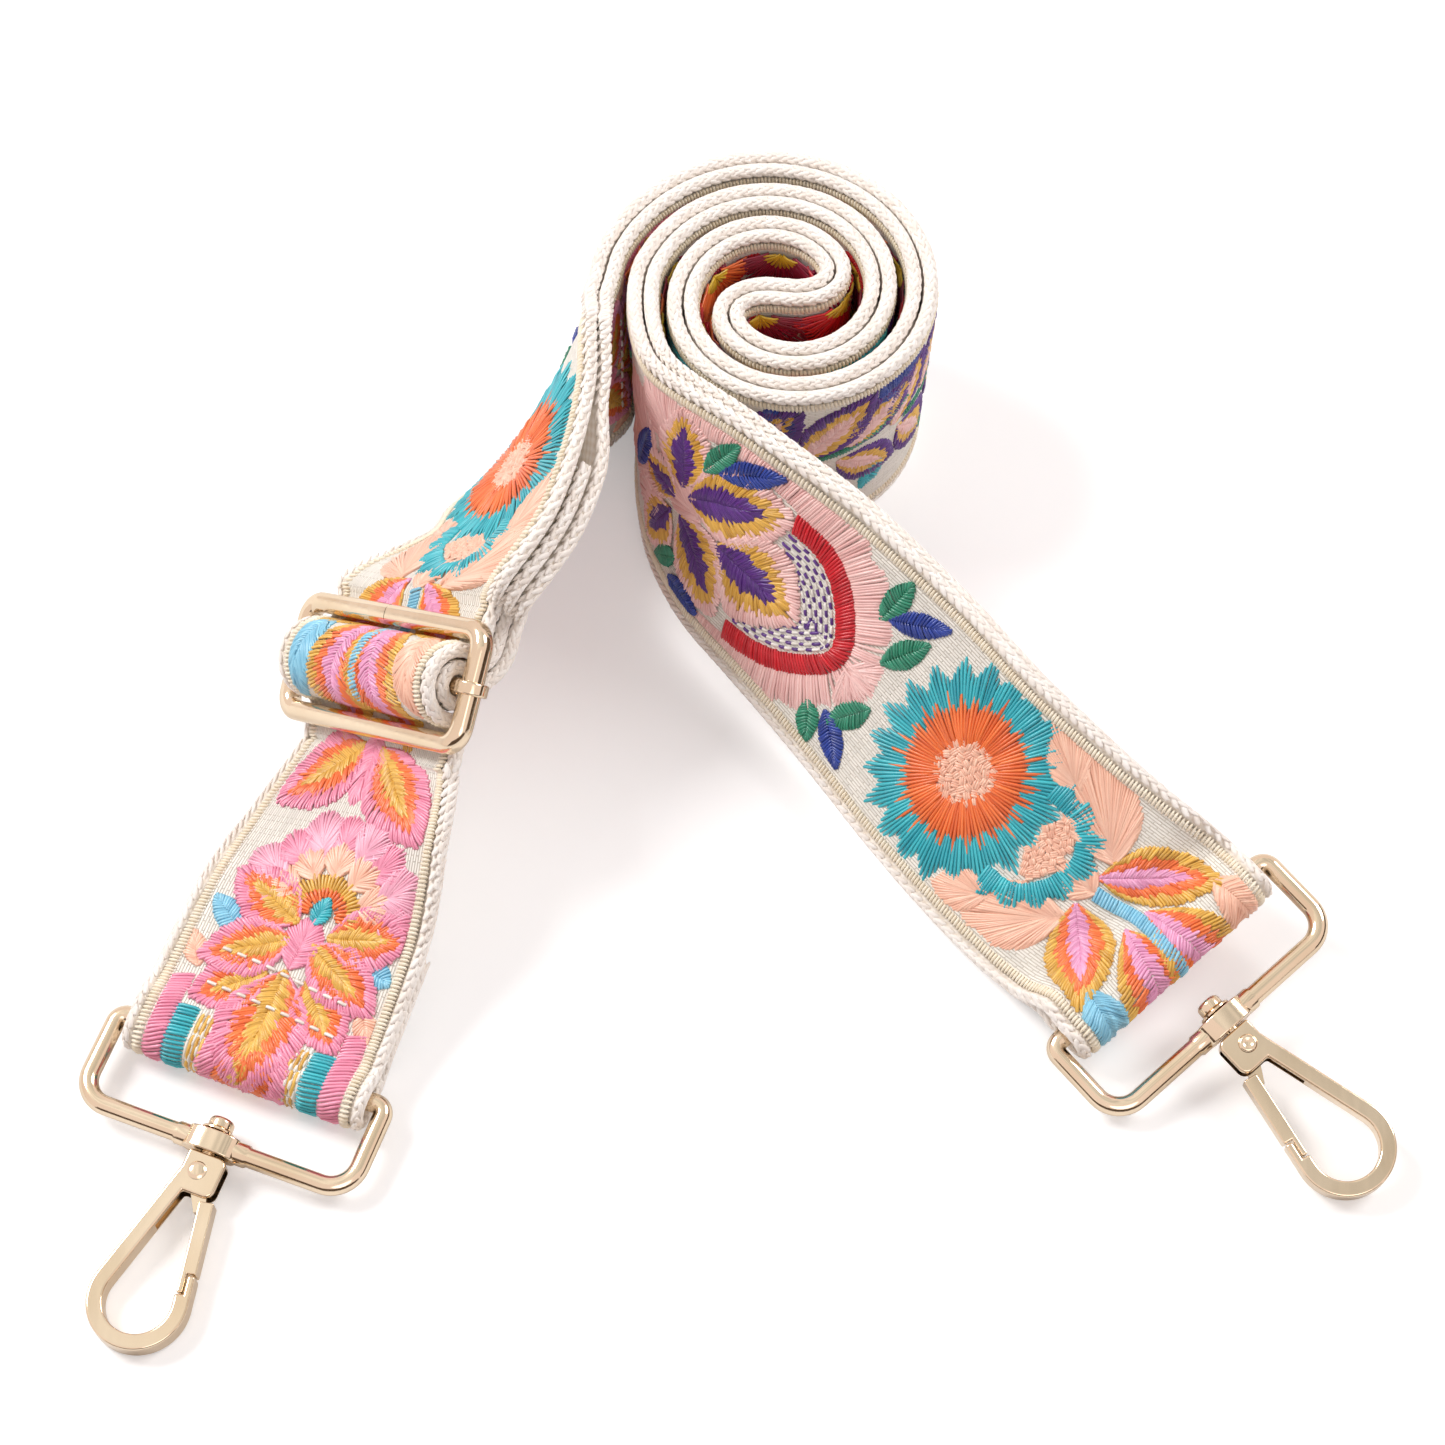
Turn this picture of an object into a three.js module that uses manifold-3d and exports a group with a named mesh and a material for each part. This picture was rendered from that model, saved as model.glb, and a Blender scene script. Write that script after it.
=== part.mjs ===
// A detachable, adjustable bag strap, lying as it is sold: its doubled length is rolled up
// on edge, and a swivel snap hook lies at each end. Lengths are in millimetres, +Z is up,
// and the part stands on z = 0.
import * as THREE from 'three';
import { mergeVertices } from 'three/addons/utils/BufferGeometryUtils.js';
import Module from 'manifold-3d';

// Strap: a cotton webbing with an embroidered ribbon sewn to its outer face.
const strapWidth = 50;
const webbingThickness = 1.9;
const selvedgeWidth = 3;
const ribbonWidth = strapWidth - 2 * selvedgeWidth;
const ribbonThickness = 0.85;
const ribbonCrown = 0.1;
const ribbonBelly = 0.03;
const sewnGap = 0.15;
const strapThickness = webbingThickness + sewnGap + ribbonThickness;
const plyGap = 0.5;
const selvedgeGap = 0.3;
const sewnTail = 28;
const hemTail = 36;
const eyeRun = 12;

// How the strap is rolled: two arms of one spiral, joined by an S at the middle.
const rollPitch = 16.5;
const rollCoreRadius = 11;
const coreStartDegrees = 45;
const leftArmDegrees = 538;
const rightArmDegrees = 352;
const rollStepDegrees = 15;
const rollFlareShare = 0.045;
const coreHandle = 6.5;
const coreMiddle = 8.5;
const coreDrop = 1.5;

// Rectangular end rings.
const ringWire = 3.8;
const ringSideClearance = 1;
const ringSpan = strapWidth + 2 * ringSideClearance + ringWire;
const ringDepth = 18.2;
const eyeSlack = 1;
const ringFrontCorner = 5.5;
const ringBackCorner = 2.2;
const barClearance = 0.3;
const bossRadius = 5.4;
const bossDepth = 4.3;
const bossHeight = 6.8;

// Swivel stud, with its washer, between ring and hook.
const studShank = 2.8;
const studClearance = 0.1;
const studHead = 5;
const studHeadLength = 2.3;
const studCrownShare = 0.25;
const washerDiameter = 6.6;
const washerThickness = 0.7;
const seatGap = 0.1;

// Snap hook: a flat cast loop with a forked head, and its gate.
const hookThickness = 4.4;
const hookBarWidth = 3.1;
const loopRadius = 9.6;
const rivetToLoop = 26.3;
const headSideLeft = 3.2;
const headSideRight = 4.7;
const headTop = 3.7;
const headBottom = 4.4;
const headCorner = 1.8;
const headGap = 0.3;
const hookBevel = 0.5;
const forkSlot = 2.8;
const forkReach = 2.4;
const recessStart = 5.8;
const recessLength = 8.2;
const recessDepth = 1.3;
const recessWidth = 2.4;
const noseClimb = 5.9;
const stepClimb = 2.2;
const stepWidth = 1.6;
const gateThickness = 4;
const gateWidth = 2.9;
const gateBevel = 0.3;
const gateGap = 0.3;
const neckWidth = 2.3;
const lugThickness = 1.3;
const lugRadius = 2.1;
const rivetDiameter = 2.2;
const rivetHead = 3.6;
const rivetHeadHeight = 0.45;
const rivetClearance = 0.08;
const rivetCrownShare = 0.7;
const eyeletRimShare = 0.8;
const eyeletMouthShare = 0.45;
const eyeletFootShare = 0.35;
const eyeletDepth = 0.25;
const springWire = 0.4;
const springRadius = 1.75;
const springRise = 0.8;
const springLeg = 2.2;
const springTail = 1.1;

// Slide adjuster: a rectangular wire frame and its loose centre bar.
const centreBar = 3.5;
const wrapGap = 0.45;
const frameWire = 4.2;
const frameSideClearance = 1.2;
const frameEndClearance = 0.8;
const frameSpan = strapWidth + 2 * frameSideClearance + frameWire;
const frameDepth = centreBar + 2 * (barClearance + 2 * strapThickness + wrapGap + frameEndClearance) + frameWire;
const frameCorner = 3.8;
const claspThickness = 1;
const claspLength = 2.6;
const claspClearance = 0.2;
const claspArcDegrees = 235;
const claspLeadDegrees = 10;
const frameSeat = 0.35;
const shoulderInset = 1.2;

// Where the strap lies, as shares of one span: a point of its mid-surface, then the
// direction across it, from its lower edge to its upper one.
const routeSpan = 100;
const ringAPlaceShares = [-0.92, -0.636, 0.053];
const ringAAcrossShares = [0.936, -0.352, 0];
const ringAHeadingShares = [0.36, 0.932, 0.14];
const ringAOutShares = [-0.352, -0.936, -0.047];
const leftRunShares = [
  [[-0.812, -0.361, 0.107], [0.92, -0.36, 0.12]],
  [[-0.75, -0.201, 0.142], [0.83, -0.36, 0.42]],
];
const sliderPlaceShares = [-0.649, 0.106, 0.226];
const sliderAcrossShares = [0.67, -0.47, 0.575];
const sliderHeadingShares = [0.21, 0.89, 0.41];
const sliderStraight = 14.5;
const sliderLead = 17;
const leftBendShares = [
  [[-0.547, 0.284, 0.335], [0.5, -0.55, 0.68]],
  [[-0.472, 0.377, 0.339], [0.55, -0.36, 0.76]],
  [[-0.432, 0.489, 0.335], [0.59, -0.14, 0.8]],
  [[-0.4, 0.596, 0.322], [0.55, 0.09, 0.83]],
  [[-0.357, 0.705, 0.298], [0.36, 0.2, 0.91]],
  [[-0.297, 0.784, 0.268], [0.1, 0.05, 0.99]],
];
const rollCentreShares = [0.098, 0.85, 0.253];
const rightBendShares = [
  [[-0.157, 0.634, 0.272], [0.04, 0.16, 0.98]],
  [[-0.029, 0.435, 0.296], [0.3, 0.3, 0.9]],
  [[0.142, 0.267, 0.267], [0.54, 0.3, 0.78]],
  [[0.3, 0.095, 0.227], [0.6, 0.35, 0.715]],
  [[0.45, -0.092, 0.198], [0.6, 0.46, 0.655]],
  [[0.613, -0.259, 0.157], [0.64, 0.57, 0.513]],
  [[0.71, -0.339, 0.131], [0.7, 0.61, 0.37]],
];
const ringBPlaceShares = [0.817, -0.438, 0.109];
const ringBAcrossShares = [0.753, 0.633, 0.178];
const ringBOutShares = [0.65, -0.752, -0.111];
const ringLead = 8;

// Fineness of the facets.
const wireSides = 10;
const roundSides = 20;
const cornerSteps = 5;
const runStep = 5;
const easeStep = 1.8;
const twistStepDegrees = 2.5;
const turnStepDegrees = 20;
const coreSteps = 5;
const claspSteps = 12;
const coilSteps = 16;
const coilSides = 6;
const baseStep = 0.5;
const gapStep = 0.5;
const cutOverrun = 1;

const plyOffset = (strapThickness + plyGap) / 2;
const plyPitch = 2 * plyOffset;
const radians = THREE.MathUtils.degToRad;
const upright = new THREE.Vector3(0, 0, 1);

const gold = { color: 0xd9bc8c, roughness: 0.22, metalness: 1 };
const cotton = { color: 0xf3ece2, roughness: 0.95, metalness: 0 };
const embroidered = { color: 0xe9a08a, roughness: 0.7, metalness: 0 };
const springSteel = { color: 0xb9bcc0, roughness: 0.35, metalness: 1 };

const wasm = await Module();
wasm.setup();

function point(shares) {
  return new THREE.Vector3(...shares).multiplyScalar(routeSpan);
}

function direction(shares) {
  return new THREE.Vector3(...shares).normalize();
}

function squareTo(vector, axis) {
  return vector.clone().addScaledVector(axis, -vector.dot(axis)).normalize();
}

// Closed meshes and solids

function closedMesh(vertices, triangles) {
  const geometry = new THREE.BufferGeometry();
  geometry.setAttribute('position', new THREE.Float32BufferAttribute(vertices, 3));
  geometry.setIndex(triangles);
  return signedVolume(geometry) < 0 ? flipped(geometry) : geometry;
}

function signedVolume(geometry) {
  const position = geometry.attributes.position;
  const index = geometry.index.array;
  const corner = (k) => new THREE.Vector3().fromBufferAttribute(position, index[k]);
  let volume = 0;
  for (let k = 0; k < index.length; k += 3) {
    volume += corner(k).dot(corner(k + 1).cross(corner(k + 2)));
  }
  return volume / 6;
}

function flipped(geometry) {
  const index = geometry.index.array;
  for (let k = 0; k < index.length; k += 3) {
    [index[k + 1], index[k + 2]] = [index[k + 2], index[k + 1]];
  }
  return geometry;
}

function solidOf(geometry) {
  const bare = geometry.clone();
  bare.deleteAttribute('normal');
  bare.deleteAttribute('uv');
  const merged = mergeVertices(bare);
  const mesh = new wasm.Mesh({
    numProp: 3,
    vertProperties: new Float32Array(merged.attributes.position.array),
    triVerts: new Uint32Array(merged.index.array),
  });
  return new wasm.Manifold(mesh);
}

function geometryOf(solid) {
  const mesh = solid.getMesh();
  return closedMesh([...mesh.vertProperties], [...mesh.triVerts]);
}

function piece(name, geometry, finish) {
  const mesh = new THREE.Mesh(geometry, new THREE.MeshStandardMaterial(finish));
  mesh.name = name;
  return mesh;
}

// A twisted four-sided facet is split along its lower diagonal, so that it never swells.
function splitInwards(vertices, [a, b, c, d], outward) {
  const corner = (k) => new THREE.Vector3().fromArray(vertices, 3 * k);
  const level = (p, q) => corner(p).add(corner(q)).dot(outward);
  return level(a, c) <= level(b, d) ? [a, b, c, a, c, d] : [a, b, d, b, c, d];
}

// A section swept through stations: each holds a point and the two directions of the section.
function sweep(stations, section, isLoop = false) {
  const vertices = [];
  for (const { at, across, out } of stations) {
    for (const [u, v] of section) {
      const p = at.clone().addScaledVector(across, u).addScaledVector(out, v);
      vertices.push(p.x, p.y, p.z);
    }
  }
  const sides = section.length;
  const count = stations.length;
  const triangles = [];
  for (let i = 0; i < (isLoop ? count : count - 1); i += 1) {
    const next = (i + 1) % count;
    for (let j = 0; j < sides; j += 1) {
      const k = (j + 1) % sides;
      const corners = [i * sides + j, next * sides + j, next * sides + k, i * sides + k];
      const [across, out] = [stations[i].across, stations[i].out];
      const outward = across.clone().multiplyScalar(section[k][1] - section[j][1]);
      outward.addScaledVector(out, section[j][0] - section[k][0]);
      triangles.push(...splitInwards(vertices, corners, outward));
    }
  }
  if (!isLoop) {
    const outline = section.map(([u, v]) => new THREE.Vector2(u, v));
    const last = (count - 1) * sides;
    for (const [a, b, c] of THREE.ShapeUtils.triangulateShape(outline, [])) {
      triangles.push(a, b, c, last + a, last + c, last + b);
    }
  }
  return closedMesh(vertices, triangles);
}

function roundSection(radius, sides) {
  const turn = (k) => (2 * Math.PI * (k + 0.5)) / sides;
  return Array.from({ length: sides }, (_, k) => [
    radius * Math.cos(turn(k)),
    radius * Math.sin(turn(k)),
  ]);
}

// A wire bent round a rectangle in the XY plane, with a corner radius for each end.
function wireLoop(span, yBack, yFront, backCorner, frontCorner, wire) {
  const half = span / 2;
  const corners = [
    [half - frontCorner, yFront - frontCorner, frontCorner, 0],
    [-half + frontCorner, yFront - frontCorner, frontCorner, 90],
    [-half + backCorner, yBack + backCorner, backCorner, 180],
    [half - backCorner, yBack + backCorner, backCorner, 270],
  ];
  const stations = [];
  for (const [x, y, radius, start] of corners) {
    for (let k = 0; k <= cornerSteps; k += 1) {
      const turn = radians(start + (90 * k) / cornerSteps);
      const across = new THREE.Vector3(Math.cos(turn), Math.sin(turn), 0);
      const at = new THREE.Vector3(x, y, 0).addScaledVector(across, radius);
      stations.push({ at, across, out: upright });
    }
  }
  return sweep(stations, roundSection(wire / 2, wireSides), true);
}

function cylinder(radius, length, sides = roundSides) {
  return new THREE.CylinderGeometry(radius, radius, length, sides);
}

// The line that the strap lies along

function spiralPoint(degrees, armTurn) {
  const radius = rollCoreRadius + (rollPitch * degrees) / 360;
  const turn = radians(degrees) + armTurn;
  return new THREE.Vector3(radius * Math.cos(turn), radius * Math.sin(turn), 0);
}

function coreCurve() {
  const end = spiralPoint(coreStartDegrees, 0);
  const slope = spiralPoint(coreStartDegrees + 1, 0).sub(end).normalize();
  const near = end.clone().addScaledVector(slope, -coreHandle);
  const middle = new THREE.Vector3(coreMiddle, -coreDrop, 0);
  return new THREE.CubicBezierCurve3(new THREE.Vector3(), middle, near, end);
}

function rollPoints() {
  const centre = point(rollCentreShares);
  const armSteps = (degrees) => Math.round((degrees - coreStartDegrees) / rollStepDegrees);
  const arm = (degrees, armTurn) =>
    Array.from({ length: armSteps(degrees) + 1 }, (_, k) =>
      spiralPoint(coreStartDegrees + (k * (degrees - coreStartDegrees)) / armSteps(degrees), armTurn));
  const core = coreCurve().getSpacedPoints(coreSteps);
  const points = [
    ...arm(leftArmDegrees, 0).reverse(),
    ...core.slice(0, -1).reverse(),
    ...core.slice(1, -1).map((p) => p.clone().negate()),
    ...arm(rightArmDegrees, Math.PI),
  ];
  const rim = spiralPoint(leftArmDegrees, 0).length();
  const flared = (p) => upright.clone().addScaledVector(p, rollFlareShare / rim).normalize();
  return points.map((p) => ({ across: flared(p), at: p.add(centre) }));
}

function straightStations(place, heading, across, distances) {
  return distances.map((distance) => ({
    at: place.clone().addScaledVector(heading, distance),
    across: across.clone(),
  }));
}

function routeStations() {
  const rows = (shares) => shares.map(([at, across]) => ({ at: point(at), across: direction(across) }));
  const ringA = ringPlace('a');
  const ringB = ringPlace('b');
  const slider = sliderPlace();
  const sliderSteps = [-sliderLead, -sliderStraight, 0, sliderStraight, sliderLead];
  const ringSteps = [-ringLead, 0, ringLead];
  const headingA = squareTo(direction(ringAHeadingShares), ringA.across);
  return [
    ...straightStations(ringA.at, headingA, ringA.across, ringSteps),
    ...rows(leftRunShares),
    ...straightStations(slider.foot, slider.heading, slider.across, sliderSteps),
    ...rows(leftBendShares),
    ...rollPoints(),
    ...rows(rightBendShares),
    ...straightStations(ringB.at, ringB.out, ringB.across, ringSteps),
  ];
}

function ringPlace(end) {
  const isA = end === 'a';
  const across = direction(isA ? ringAAcrossShares : ringBAcrossShares);
  const out = squareTo(direction(isA ? ringAOutShares : ringBOutShares), across);
  return { at: point(isA ? ringAPlaceShares : ringBPlaceShares), across, out };
}

// The adjuster's frame sits on the face of the first ply, above the mid-surface.
function sliderHeight() {
  return plyOffset + strapThickness / 2 + frameSeat + frameWire / 2;
}

function sliderPlace() {
  const across = direction(sliderAcrossShares);
  const heading = squareTo(direction(sliderHeadingShares), across);
  const face = across.clone().cross(heading);
  const foot = point(sliderPlaceShares);
  return { foot, across, heading, face, at: foot.clone().addScaledVector(face, sliderHeight()) };
}

// The mid-surface, measured along its length: stations every baseStep.
function measuredBase() {
  const route = routeStations();
  const line = new THREE.CatmullRomCurve3(route.map((row) => row.at));
  const tilt = new THREE.CatmullRomCurve3(route.map((row) => row.across));
  const total = line.getLength();
  const count = Math.ceil(total / baseStep) * 2;
  const rows = [];
  let length = 0;
  let last = line.getPoint(0);
  for (let k = 0; k <= count; k += 1) {
    const t = k / count;
    const at = line.getPoint(t);
    length += at.distanceTo(last);
    last = at;
    const across = tilt.getPoint(t).normalize();
    const heading = squareTo(line.getTangent(t), across);
    rows.push({ length, at, across, heading, face: across.clone().cross(heading) });
  }
  const lengthAt = (index) => rows[Math.round((index / (route.length - 1)) * count)].length;
  return { rows, total: length, lengthAt, route };
}

const base = measuredBase();

function baseAt(length) {
  const rows = base.rows;
  let low = 0;
  let high = rows.length - 1;
  while (high - low > 1) {
    const middle = (low + high) >> 1;
    if (rows[middle].length <= length) low = middle;
    else high = middle;
  }
  const a = rows[low];
  const b = rows[high];
  const share = THREE.MathUtils.clamp((length - a.length) / (b.length - a.length), 0, 1);
  const blend = (key) => a[key].clone().lerp(b[key], share);
  return {
    at: blend('at'),
    across: blend('across').normalize(),
    heading: blend('heading').normalize(),
    face: blend('face').normalize(),
  };
}

// Landmarks along the mid-surface: the two ring bars, the centre bar and the roll's ends.
const routeIndex = {
  ringA: 1,
  slider: 3 + leftRunShares.length + 2,
  rollStart: 3 + leftRunShares.length + 5 + leftBendShares.length,
  rollEnd: base.route.length - 3 - rightBendShares.length - 1,
  ringB: base.route.length - 2,
};
const barA = base.lengthAt(routeIndex.ringA);
const barB = base.lengthAt(routeIndex.ringB);
const barS = base.lengthAt(routeIndex.slider);
const rollStart = base.lengthAt(routeIndex.rollStart);
const rollEnd = base.lengthAt(routeIndex.rollEnd);

// The strap's own path, as points (s, n): s along the mid-surface, n above its face.

// A run's points lie closer together where the strap twists.
function straight(from, to, n) {
  const reach = Math.abs(to - from);
  const parts = Math.max(1, Math.ceil(reach / baseStep));
  const place = (share) => from + (to - from) * share;
  const across = (k) => baseAt(place(k / parts)).across;
  const steps = [0];
  for (let k = 1; k <= parts; k += 1) {
    const twist = across(k).angleTo(across(k - 1)) / radians(twistStepDegrees);
    steps.push(steps[k - 1] + Math.max(reach / parts / runStep, twist));
  }
  const count = Math.max(1, Math.round(steps[parts]));
  return Array.from({ length: count + 1 }, (_, j) => {
    const goal = (steps[parts] * j) / count;
    const k = THREE.MathUtils.clamp(steps.filter((step) => step < goal).length, 1, parts);
    const share = (goal - steps[k - 1]) / (steps[k] - steps[k - 1]);
    return [place((k - 1 + share) / parts), n];
  });
}

function ease(from, to, nFrom, nTo) {
  const steps = Math.max(4, Math.round(Math.abs(to - from) / easeStep));
  return Array.from({ length: steps + 1 }, (_, k) => {
    const share = k / steps;
    const lift = (1 - Math.cos(Math.PI * share)) / 2;
    return [from + (to - from) * share, nFrom + (nTo - nFrom) * lift];
  });
}

function arc(s, n, radius, fromDegrees, toDegrees) {
  const steps = Math.max(2, Math.round(Math.abs(toDegrees - fromDegrees) / turnStepDegrees));
  return Array.from({ length: steps + 1 }, (_, k) => {
    const turn = radians(fromDegrees + ((toDegrees - fromDegrees) * k) / steps);
    return [s + radius * Math.cos(turn), n + radius * Math.sin(turn)];
  });
}

const eyeRadius = ringWire / 2 + barClearance + strapThickness / 2;
const wrapRadius = centreBar / 2 + barClearance + strapThickness / 2;
const throughRadius = wrapRadius + strapThickness + wrapGap;
const barHeight = sliderHeight();
const shoulder = frameDepth / 2 - shoulderInset;
const shoulderRadius = shoulder - throughRadius;

// From the sewn tail at ring A, over the adjuster's centre bar, to the roll.
function firstLeftPath() {
  const end = barA + eyeRun;
  const shoulderHeight = plyOffset + shoulderRadius;
  return [
    ...straight(barA + sewnTail, end, -plyOffset),
    ...ease(end, barA, -plyOffset, -eyeRadius),
    ...arc(barA - eyeSlack, 0, eyeRadius, -90, -270),
    ...ease(barA, end, eyeRadius, plyOffset),
    ...straight(end, barS - shoulder, plyOffset),
    ...arc(barS - shoulder, shoulderHeight, shoulderRadius, -90, 0),
    ...arc(barS, barHeight, throughRadius, 180, 0),
    ...arc(barS + shoulder, shoulderHeight, shoulderRadius, 180, 270),
    ...straight(barS + shoulder, rollStart, plyOffset),
  ];
}

function rollPath(side) {
  return straight(rollStart, rollEnd, side * plyOffset);
}

// Round ring B's bar and back.
function rightPath() {
  const start = barB - eyeRun;
  return [
    ...straight(rollEnd, start, plyOffset),
    ...ease(start, barB, plyOffset, eyeRadius),
    ...arc(barB + eyeSlack, 0, eyeRadius, 90, -90),
    ...ease(barB, start, -eyeRadius, -plyOffset),
    ...straight(start, rollEnd, -plyOffset),
  ];
}

// Under the first ply, round the adjuster's centre bar, and back between the two plies.
function secondLeftPath() {
  const hem = barS + shoulder + hemTail;
  const low = -plyOffset - plyPitch;
  const shoulderHeight = plyOffset + shoulderRadius;
  const outer = shoulderRadius + 2 * plyPitch;
  return [
    ...straight(rollStart, hem + eyeRun, -plyOffset),
    ...ease(hem + eyeRun, hem, -plyOffset, low),
    ...straight(hem, barS + shoulder, low),
    ...arc(barS + shoulder, shoulderHeight, outer, 270, 225),
    ...arc(barS, barHeight, wrapRadius, -135, -360),
    ...arc(barS + shoulder, shoulderHeight, shoulderRadius + plyPitch, 180, 270),
    ...straight(barS + shoulder, barS + shoulder + hemTail, -plyOffset),
  ];
}

// Points closer than this are one station.
const leastStep = 0.4;

function pathStations(path, startTrim, endTrim) {
  const kept = path.filter((p, k) =>
    k === 0 || Math.hypot(p[0] - path[k - 1][0], p[1] - path[k - 1][1]) > leastStep);
  trim(kept, 0, 1, startTrim);
  trim(kept, kept.length - 1, kept.length - 2, endTrim);
  return kept.map((p, k) => {
    const before = kept[Math.max(0, k - 1)];
    const after = kept[Math.min(kept.length - 1, k + 1)];
    const heading = new THREE.Vector2(after[0] - before[0], after[1] - before[1]).normalize();
    const frame = baseAt(p[0]);
    const at = frame.at.clone().addScaledVector(frame.face, p[1]);
    const out = frame.heading.clone().multiplyScalar(-heading.y).addScaledVector(frame.face, heading.x);
    return { at, across: frame.across, out };
  });
}

function trim(path, end, inner, distance) {
  const [s, n] = path[end];
  const [si, ni] = path[inner];
  const share = distance / Math.hypot(si - s, ni - n);
  path[end] = [s + (si - s) * share, n + (ni - n) * share];
}

function webbingSection() {
  const half = strapWidth / 2;
  const bead = ribbonWidth / 2 + selvedgeGap;
  const back = -strapThickness / 2;
  const body = back + webbingThickness;
  const top = strapThickness / 2;
  return [
    [-half, back], [half, back], [half, top], [bead, top],
    [bead, body], [-bead, body], [-bead, top], [-half, top],
  ];
}

// The ribbon is thinner at its edges than under its embroidery.
function ribbonSection() {
  const half = ribbonWidth / 2;
  const top = strapThickness / 2;
  const bottom = top - ribbonThickness;
  const edge = top - ribbonCrown;
  return [
    [-half, bottom], [0, bottom - ribbonBelly], [half, bottom],
    [half, edge], [0, top], [-half, edge],
  ];
}

function strapPieces() {
  const cut = selvedgeGap / 2;
  const lengths = [
    ['left_first_ply', firstLeftPath(), 0, cut],
    ['roll_first_ply', rollPath(1), cut, cut],
    ['right_run', rightPath(), cut, cut],
    ['roll_second_ply', rollPath(-1).reverse(), cut, cut],
    ['left_second_ply', secondLeftPath(), cut, 0],
  ];
  const pieces = [];
  for (const [name, path, startTrim, endTrim] of lengths) {
    const stations = pathStations(path, startTrim, endTrim);
    pieces.push(piece(`webbing_${name}`, sweep(stations, webbingSection()), cotton));
    pieces.push(piece(`ribbon_${name}`, sweep(stations, ribbonSection()), embroidered));
  }
  return pieces;
}

// Ring, stud and washer: x along the ring's bar, y outwards, the front bar at y = 0.

function ringGeometry() {
  const loop = wireLoop(ringSpan, -ringDepth, 0, ringBackCorner, ringFrontCorner, ringWire);
  const boss = solidOf(cylinder(bossRadius, bossDepth, roundSides));
  const slab = solidOf(new THREE.BoxGeometry(2 * bossRadius, bossDepth, bossHeight));
  const bore = solidOf(cylinder(studShank / 2 + studClearance, bossDepth + 2 * cutOverrun));
  return geometryOf(solidOf(loop).add(boss.intersect(slab)).subtract(bore));
}

function studGeometry() {
  const shank = studShank / 2;
  const head = studHead / 2;
  const back = -bossDepth / 2 - 2 * seatGap - washerThickness;
  const tip = rivetPlace() - forkReach - seatGap;
  const crown = studHeadLength * studCrownShare;
  const profile = [
    [0, tip], [shank, tip], [shank, back], [head, back],
    [head, back - studHeadLength + crown], [head - crown, back - studHeadLength],
    [0, back - studHeadLength],
  ];
  return lathed(profile);
}

function washerGeometry() {
  const inner = studShank / 2 + studClearance;
  const outer = washerDiameter / 2;
  const top = -bossDepth / 2 - seatGap;
  const bottom = top - washerThickness;
  return lathed([[inner, top], [inner, bottom], [outer, bottom], [outer, top], [inner, top]]);
}

function lathed(profile) {
  const points = profile.map(([r, y]) => new THREE.Vector2(r, y));
  return geometryOf(solidOf(closedMeshOf(new THREE.LatheGeometry(points, roundSides))));
}

function closedMeshOf(geometry) {
  const bare = geometry.clone();
  bare.deleteAttribute('normal');
  bare.deleteAttribute('uv');
  const merged = mergeVertices(bare);
  return closedMesh([...merged.attributes.position.array], [...withoutSlivers(merged.index.array)]);
}

function withoutSlivers(index) {
  const kept = [];
  for (let k = 0; k < index.length; k += 3) {
    const [a, b, c] = [index[k], index[k + 1], index[k + 2]];
    if (a !== b && b !== c && c !== a) kept.push(a, b, c);
  }
  return kept;
}

// Hook: x towards the gate's side, y from ring to loop, z through its thickness.

function rivetPlace() {
  return bossDepth / 2 + headGap + headTop;
}

// Each leg runs from the head's side as a tangent to the loop's outer arc. This is the
// turn of the point where it touches, from -y towards that side.
function legTurn(headSide) {
  const reach = Math.hypot(headSide, rivetToLoop);
  return Math.atan2(headSide, rivetToLoop) + Math.acos(loopRadius / reach);
}

// A point beside the gate's leg: its distance from the loop's centre line of touch, and
// how far up the leg it lies from there.
function legPoint(distance, climb) {
  const turn = legTurn(headSideRight);
  const x = distance * Math.sin(turn) - climb * Math.cos(turn);
  const y = rivetToLoop - distance * Math.cos(turn) - climb * Math.sin(turn);
  return [x, y];
}

function hookOutline() {
  const innerRadius = loopRadius - hookBarWidth;
  const leftTurn = legTurn(headSideLeft);
  const rightTurn = legTurn(headSideRight);
  const quarter = Math.PI / 2;
  const cornerX = headSideRight - headCorner;
  const innerTouch = rivetToLoop - innerRadius * Math.cos(leftTurn);
  const innerLean = (innerTouch - headBottom) / Math.tan(leftTurn);
  const shape = new THREE.Shape();
  shape.moveTo(-headSideLeft, -headTop);
  shape.lineTo(cornerX, -headTop);
  shape.absarc(cornerX, headCorner - headTop, headCorner, -quarter, 0);
  shape.lineTo(headSideRight, headBottom - headCorner);
  shape.absarc(cornerX, headBottom - headCorner, headCorner, 0, quarter);
  shape.lineTo(innerLean - innerRadius * Math.sin(leftTurn), headBottom);
  shape.absarc(0, rivetToLoop, innerRadius, 3 * quarter - leftTurn, rightTurn - quarter, true);
  shape.lineTo(...legPoint(innerRadius, stepClimb));
  shape.lineTo(...legPoint(innerRadius + stepWidth, stepClimb));
  shape.lineTo(...legPoint(innerRadius + stepWidth, noseClimb));
  shape.lineTo(...legPoint(loopRadius, noseClimb));
  shape.absarc(0, rivetToLoop, loopRadius, rightTurn - quarter, 3 * quarter - leftTurn, false);
  shape.lineTo(-headSideLeft, 0);
  return shape;
}

function slab(shape, thickness, bevel) {
  const geometry = new THREE.ExtrudeGeometry(shape, {
    depth: thickness - 2 * bevel,
    bevelEnabled: bevel > 0,
    bevelThickness: bevel,
    bevelSize: bevel,
    bevelOffset: -bevel,
    bevelSegments: 1,
    curveSegments: roundSides / 2,
  });
  return geometry.translate(0, 0, bevel - thickness / 2);
}

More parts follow.
